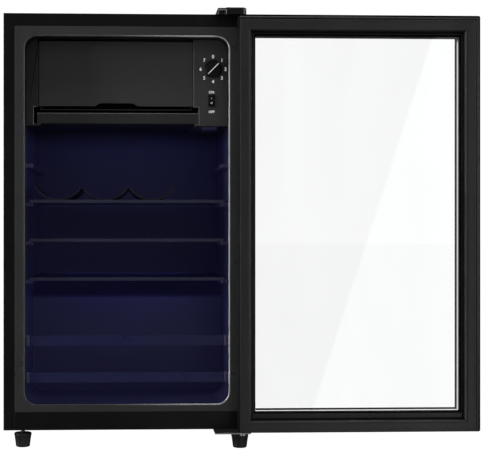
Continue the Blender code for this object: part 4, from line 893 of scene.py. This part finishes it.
def door_seal():
    """The magnetic seal's profile: two beads beside a flat band, inner bevel and root."""
    low, high = span("door_gasket")
    base = high.y
    face = low.y
    deep = base - face
    profile = [
        (0.0000, base),
        (0.0000, base - deep * 0.55),
        (0.0005, face + 0.0010),
        (0.0012, face + 0.0002),
        (0.0022, face),
        (0.0040, face),
        (0.0046, face + 0.0007),
        (0.0052, face + 0.0002),
        (0.0170, face + 0.0002),
        (0.0176, face + 0.0007),
        (0.0182, face),
        (0.0189, face),
        (0.0195, face + 0.0004),
        (0.0220, face + deep * 0.42),
        (0.0230, face + deep * 0.66),
        (0.0236, base - deep * 0.20),
        (0.0255, base - deep * 0.12),
        (0.0255, base),
    ]
    sections = [inset_loop((low, high), i, y, max(0.0005, 0.002 - i * 0.05)) for i, y in profile]
    shape = ring_loops(sections)
    piece("seal_profile", shape, "door", "gasket", ("door_gasket",), smooth=32)


def ring(name, box, section, body, look, corner=0.0008, replaces=(), smooth=40):
    """A frame-shaped piece whose section, given as (inset, y), runs round the box."""
    shape = ring_loops([inset_loop(box, inset, y, corner) for inset, y in section])
    piece(name, shape, body, look, replaces, smooth)


def filleted(corners, steps=5):
    """Closed outline through corners given as (x, y, radius), each rounded."""
    points = []
    count = len(corners)
    for i, (x, y, radius) in enumerate(corners):
        here = Vector((x, y))
        before = Vector(corners[i - 1][:2]) - here
        after = Vector(corners[(i + 1) % count][:2]) - here
        before.normalize()
        after.normalize()
        half = before.angle(after) / 2
        reach = radius / math.tan(half)
        start, end = here + before * reach, here + after * reach
        centre = here + (before + after).normalized() * (radius / math.sin(half))
        for k in range(steps + 1):
            mix = start.lerp(end, k / steps) - centre
            points.append(centre + mix.normalized() * radius)
    return points


def hinge_cap():
    """Moulded cap over the upper hinge: a round-ended boss and a set-back tongue."""
    low, high = span("top_hinge_cover")
    top = high.z
    seat = SHELL_HIGH.z + 0.0003
    edge = SHELL_LOW.y - 0.0004
    boss = low.x + (high.x - low.x) * 0.27
    step = 0.0055

    def outline(inset, z):
        left, right, front, back = low.x + inset, high.x - inset, low.y + inset, high.y - inset
        inner = boss + inset
        plan = filleted(
            (
                (right, front, 0.0070 - inset),
                (right, back, 0.0040 - inset),
                (left, back, 0.0040 - inset),
                (left, front + step, 0.0035 - inset),
                (inner, front + step, 0.0010 + inset),
                (inner, front, 0.0045 - inset),
            )
        )
        points = []
        for place in plan:
            level = z if z > seat or place.y < edge else seat
            points.append((place.x, place.y, level))
        return points

    sections = [
        outline(0.0, low.z),
        outline(0.0, top - 0.0022),
        outline(0.0004, top - 0.0010),
        outline(0.0010, top - 0.0003),
        outline(0.0018, top),
    ]
    piece("hinge_cap", loft(sections), "cabinet", "cap", ("top_hinge_cover",), smooth=35)


def dial_marks():
    """Numbers round the knob and the two words by the rocker."""
    knob_low, knob_high = span("thermostat_knob")
    axis = (knob_low + knob_high) / 2
    face = span("control_housing")[0].y
    words = []
    for number in range(8):
        turn = math.radians(45 * number)
        x = axis.x + DIAL_RADIUS * math.sin(turn)
        z = axis.z + DIAL_RADIUS * math.cos(turn)
        words.append((str(number), (x, face - 0.0001, z)))
    shape = lettering(words, NUMBER_SIZE, bold=INK_BOLD)
    piece("dial_numbers", shape, "cabinet", "print")
    low, high = span("switch_body")
    middle = (low + high) / 2
    words = [
        ("ON", (middle.x, face - 0.0001, high.z + 0.0052)),
        ("OFF", (middle.x, face - 0.0001, low.z - 0.0100)),
    ]
    shape = lettering(words, WORD_SIZE, bold=INK_BOLD)
    piece("switch_words", shape, "cabinet", "print")


def knob_line():
    """Inlaid line along the knob's grip."""
    knob_low, knob_high = span("thermostat_knob")
    axis = (knob_low + knob_high) / 2
    front = knob_low.y
    shape = bar((-0.0007, front - 0.0001, -0.0145), (0.0007, front + 0.0004, 0.0145), 0.0001)
    turned = Matrix.Rotation(math.radians(45), 3, "Y")
    bmesh.ops.rotate(shape, verts=shape.verts, cent=(0, 0, 0), matrix=turned)
    bmesh.ops.translate(shape, verts=shape.verts, vec=(axis.x, 0, axis.z))
    piece("knob_pointer", shape, "knob", "print")


def rocker_marks():
    """The two symbols on the rocker."""
    low, high = span("switch_rocker")
    middle = (low + high) / 2
    words = [
        ("I", (middle.x, low.y + 0.0012, middle.z + 0.0044)),
        ("O", (middle.x, low.y + 0.0004, middle.z - 0.0046)),
    ]
    shape = lettering(words, SYMBOL_SIZE, 0.0004)
    piece("rocker_marks", shape, "rocker", "print")


def mouth_bead():
    """Glossy rounded bead along the mouth's edge, near-white on the right as a painted highlight."""
    low, high = span("mouth_frame")
    mouth = (
        low + Vector((MOUTH_BAND, 0, MOUTH_SILL)),
        high - Vector((MOUTH_BAND, 0, MOUTH_BAND)),
    )
    section = circle(0.0002, low.y + 0.0018, 0.0017, 12)
    sections = [inset_loop(mouth, inset, y, MOUTH_ROUND - inset, 10) for inset, y in section]
    piece("mouth_bead", ring_loops(sections), "cabinet", "bead", smooth=50)


def door_lines():
    """Near-black strip round the door frame's edge as painted shade, bead round the inner frame, sealant
    beside the spacer.
    """
    box = span("door_frame")
    y = box[0].y
    section = (
        (0.0001, y + 0.0002),
        (0.0005, y - 0.0004),
        (0.0030, y - 0.0004),
        (0.0034, y + 0.0002),
    )
    # A near-black strip standing for the shade line at the door frame's outer edge: painted shade.
    ring("door_edge_shade", box, section, "door", "sealant", 0.0030)
    box = span("door_inner_frame")
    y = box[0].y
    lip = INNER_FRAME_FACE + INNER_FRAME_SLOPE
    section = (
        (lip - 0.0026, y + 0.0005),
        (lip - 0.0012, y + 0.0022),
        (lip, y + 0.0040),
        (lip + 0.0002, y + 0.0053),
        (lip - 0.0026, y + 0.0053),
    )
    ring("glazing_bead", box, section, "door", "sealant")
    low, high = span("glazing_spacer")
    out_of_sight = 0.0030
    box = (low - Vector((out_of_sight, 0, 0)), high + Vector((0, 0, out_of_sight)))
    y = high.y
    section = (
        (SPACER_FACE - 0.0002, y - 0.0012),
        (SPACER_FACE + 0.0024, y - 0.0010),
        (SPACER_FACE + 0.0032, y - 0.0001),
        (SPACER_FACE - 0.0002, y - 0.0001),
    )
    ring("sealant_line", box, section, "door", "sealant")


def spacer_bars():
    """Spacer between the panes: a rectangular tube with its two inner edges taken off."""
    low, high = span("glazing_spacer")
    soft = 0.0006
    profile = [
        (0.0, low.y),
        (SPACER_FACE - soft, low.y),
        (SPACER_FACE, low.y + soft),
        (SPACER_FACE, high.y - soft),
        (SPACER_FACE - soft, high.y),
        (0.0, high.y),
    ]
    box = (low, high)
    ring("spacer_bars", box, profile, "door", "spacer", replaces=("glazing_spacer",))


def flap_pip():
    """Small moulded dot near the finger notch."""
    low = span("freezer_flap")[0]
    profile = [(0, -0.0007), (0.0009, -0.0005), (0.0013, 0.0), (0.0013, 0.0008), (0, 0.0008)]
    place = (low.x + PIP_RIGHT, low.y, low.z + PIP_UP)
    piece("flap_pip", lathe(profile, place, "Y", 20), "flap", "bead", smooth=50)


def front_lips():
    """Narrow raised strips along the free front edges of the housing, the bracket and the tray,
    light gray as painted highlights on those edges.
    """
    wide = 0.0010
    proud = 0.0004
    housing_low, housing_high = span("control_housing")
    bracket_low = span("freezer_side_bracket")[0]
    tray_low, tray_high = span("drip_tray")
    step = tray_high.z + STEP_ABOVE_TRAY
    left = housing_low.x
    beside = tray_high.x + 0.001
    inner = tray_low.x - TRAY_BRACKET_GAP - wide
    lips = {
        "housing_highlight_lip": (
            housing_low.y,
            (left, step, left + wide, housing_high.z - 0.003),
            (beside, housing_low.z + 0.001, beside + wide, step),
            (left, step, beside + wide, step + wide),
        ),
        "bracket_highlight_lip": (
            bracket_low.y,
            (inner, bracket_low.z + 0.001, inner + wide, step),
            (inner, step, inner + 0.005, step + wide),
        ),
    }
    for name, (front, *edges) in lips.items():
        whole = bmesh.new()
        for start, floor, end, top in edges:
            merge(whole, bar((start, front - proud, floor), (end, front + proud, top), 0.0002))
        piece(name, whole, "cabinet", "lip", smooth=40)
    whole = bar(
        (tray_low.x + 0.0005, tray_low.y + 0.0001, tray_high.z - 0.0006),
        (tray_high.x - 0.0005, tray_low.y + 0.0019, tray_high.z + 0.0008),
        0.0004,
    )
    piece("tray_highlight_lip", whole, "tray", "lip", smooth=40)


def door_rim():
    """Raised moulding on the door frame beside the seal, on the free side and at the top."""
    low, high = span("door_frame")
    seal_high = span("door_gasket")[1]
    gaps = (high.x - seal_high.x - 0.0006, high.z - seal_high.z - 0.0006)
    start = 0.0030
    # Section: share of the moulding's width, distance from there, height over the frame.
    section = (
        (0.0, 0.0, 0.0),
        (0.0, 0.0004, 0.0007),
        (0.0, 0.0016, 0.0015),
        (0.5, 0.0, 0.0019),
        (1.0, -0.0014, 0.0012),
        (1.0, -0.0003, 0.0),
    )
    whole = bmesh.new()
    rows = []
    for share, offset, rise in section:
        insets = [start + (gap - start) * share + offset for gap in gaps]
        right, top = high.x - insets[0], high.z - insets[1]
        y = low.y - rise
        path = ((low.x + 0.0015, y, top), (right, y, top), (right, y, low.z + 0.0015))
        rows.append([whole.verts.new(point) for point in path])
    for i, row in enumerate(rows):
        following = rows[(i + 1) % len(rows)]
        for k in range(2):
            whole.faces.new((row[k], row[k + 1], following[k + 1], following[k]))
    whole.faces.new([row[0] for row in rows])
    whole.faces.new([row[2] for row in rows])
    piece("door_rim", whole, "door", "rim", smooth=60)


def frame_edge():
    """Thin rounded outer edge of the gray frame round the mouth, near-white on the left as a painted
    highlight.
    """
    box = span("mouth_frame")
    radius = 0.0008
    section = circle(radius, box[0].y + radius, radius, 10)
    ring("frame_edge", box, section, "cabinet", "edge", 0.0015, smooth=50)


def rail_clips():
    """Small end clips that hold the two guard rails in the liner's sides."""
    for node in ("guard_rail_upper", "guard_rail_lower"):
        low, high = span(node)
        for side, x in (("left", low.x), ("right", high.x)):
            inner = 0.010 if side == "left" else -0.010
            start, end = sorted((x + (0.0002 if side == "left" else -0.0002), x + inner))
            around = Vector((0, 0.0012, 0.0012))
            first = Vector((start, low.y, low.z)) - around
            last = Vector((end, high.y, high.z)) + around
            shape = bar(first, last, 0.0010)
            piece(node + "_clip_" + side, shape, "cabinet", "liner", smooth=40)


def studio():
    """White surroundings and floor for the eye, dim and even for reflections and bounced light."""
    g = Graph("studio", world=True)
    white = g.node("Background", Color=(1, 1, 1, 1), Strength=WORLD_WHITE)
    dim = g.node("Background", Color=(1, 1, 1, 1), Strength=DIM)
    g.show(g.split("Is Camera Ray", dim, white))
    bpy.context.scene.world = g.material

    g = Graph("studio_floor")
    tone = g.remap(g.noise(g.coords(), 2.0, 3.0), 0.3, 0.7, 0.0, 1.0)
    pale = g.node("BsdfDiffuse")
    g.feed(pale.inputs["Color"], g.mix(tone, rgb((0.68, 0.68, 0.68)), rgb((0.72, 0.72, 0.72))))
    mirrored = g.split("Is Glossy Ray", pale, g.node("Emission", Strength=DIM))
    g.show(g.split("Is Camera Ray", mirrored, g.node("Emission", Strength=FLOOR_WHITE)))
    mesh = bmesh.new()
    bmesh.ops.create_grid(mesh, x_segments=8, y_segments=8, size=30.0)
    floor = stage_piece("floor", mesh, g.material)
    floor.location.z = -0.0004
    floor.visible_glossy = False


def stage_piece(name, mesh, material):
    """Adds a bmesh as part of the studio, not of the fridge."""
    data = bpy.data.meshes.new(name)
    mesh.to_mesh(data)
    mesh.free()
    data.materials.append(material)
    made = bpy.data.objects.new(name, data)
    bpy.context.scene.collection.objects.link(made)
    return made


def glass_card(camera):
    """A pale card behind the camera, whose slanting edge the open door's glass mirrors."""
    low, high = span("door_inner_pane")
    plane = low.y
    seen_from = camera.location
    behind = seen_from.y - 0.6
    image = Vector((seen_from.x, 2 * plane - seen_from.y, seen_from.z))
    edge = []
    for across, up in REFLECTED_LINE:
        spot = Vector((low.x + (high.x - low.x) * across, plane, low.z + (high.z - low.z) * up))
        edge.append(image + (spot - image) * ((behind - image.y) / (plane - image.y)))
    top, bottom = edge
    along = (top - bottom) * 1.5
    top, bottom = top + along, bottom - along
    wide = Vector((6, 0, 0))
    mesh = bmesh.new()
    mesh.faces.new([mesh.verts.new(p) for p in (bottom, bottom + wide, top + wide, top)])
    g = Graph("studio_card")
    clear = g.node("BsdfTransparent")
    g.show(g.split("Is Glossy Ray", clear, g.node("Emission", Strength=CARD_GLOW)))
    card = stage_piece("card", mesh, g.material)
    card.visible_camera = False
    card.visible_diffuse = False
    card.visible_shadow = False


def lamp(name, place, aim, size, power, colour=(1, 1, 1), spread=180):
    data = bpy.data.lights.new(name, "AREA")
    data.shape = "RECTANGLE"
    data.size, data.size_y = size
    data.energy = power
    data.color = colour
    data.spread = math.radians(spread)
    made = bpy.data.objects.new(name, data)
    made.location = place
    made.rotation_euler = (Vector(aim) - Vector(place)).to_track_quat("-Z", "Y").to_euler()
    bpy.context.scene.collection.objects.link(made)
    made.visible_camera = False
    return made


def lights():
    """Strip lights round the object, a soft front light, one behind, and the fridge's own lamp."""
    middle = Vector((0, -0.1, 0.45))
    lamp("strip_right", (2.4, -1.0, 1.2), middle, (0.30, 2.0), 9)
    lamp("strip_left", (-2.3, -0.8, 0.7), middle, (0.45, 2.4), 24)
    lamp("strip_top", (0.4, -0.9, 2.7), middle, (2.4, 0.5), 13)
    soft = lamp("front", (0.1, -3.4, 1.7), middle, (1.8, 1.8), 7.2)
    soft.visible_glossy = False
    lamp("back", (0.6, 2.6, 2.2), (0, 0.2, 0.5), (2.0, 1.2), 34)
    lens_low, lens_high = span("lamp_lens")
    liner_low, liner_high = span("inner_liner")
    x = (liner_low.x + liner_high.x) / 2
    back = liner_high.y
    blue = (0.10, 0.13, 1.0)
    below_lens = (x, lens_high.y + 0.02, lens_low.z - 0.004)
    lamp("led", below_lens, (x, back, 0.42), (0.34, 0.04), 0.036, blue)
    lamp("led_low", (x, liner_low.y + 0.02, 0.30), (x, back, 0.10), (0.32, 0.03), 0.060, blue)


# ---- the whole picture --------------------------------------------------------------------------
def build():
    camera = make_camera()
    make_looks()
    dress_nodes()
    for node, width in (
        ("freezer_flap", 0.0008),
        ("drip_tray", 0.0007),
        ("guard_rail_upper", 0.0012),
        ("guard_rail_lower", 0.0012),
        ("relay_cover", 0.0025),
        ("evaporation_pan", 0.0012),
    ):
        soften(node, width)
    for corner, body, stud in (
        ("front_left", "foot_left", True),
        ("front_right", "foot_right", True),
        ("rear_left", "cabinet", False),
        ("rear_right", "cabinet", False),
    ):
        foot("foot_cup_" + corner, "foot_" + corner, body, stud)
    door_seal()
    hinge_cap()
    dial_marks()
    knob_line()
    rocker_marks()
    rail_clips()
    mouth_bead()
    frame_edge()
    front_lips()
    door_rim()
    door_lines()
    compressor_bolts()
    spacer_bars()
    flap_pip()
    studio()
    glass_card(camera)
    lights()


build()
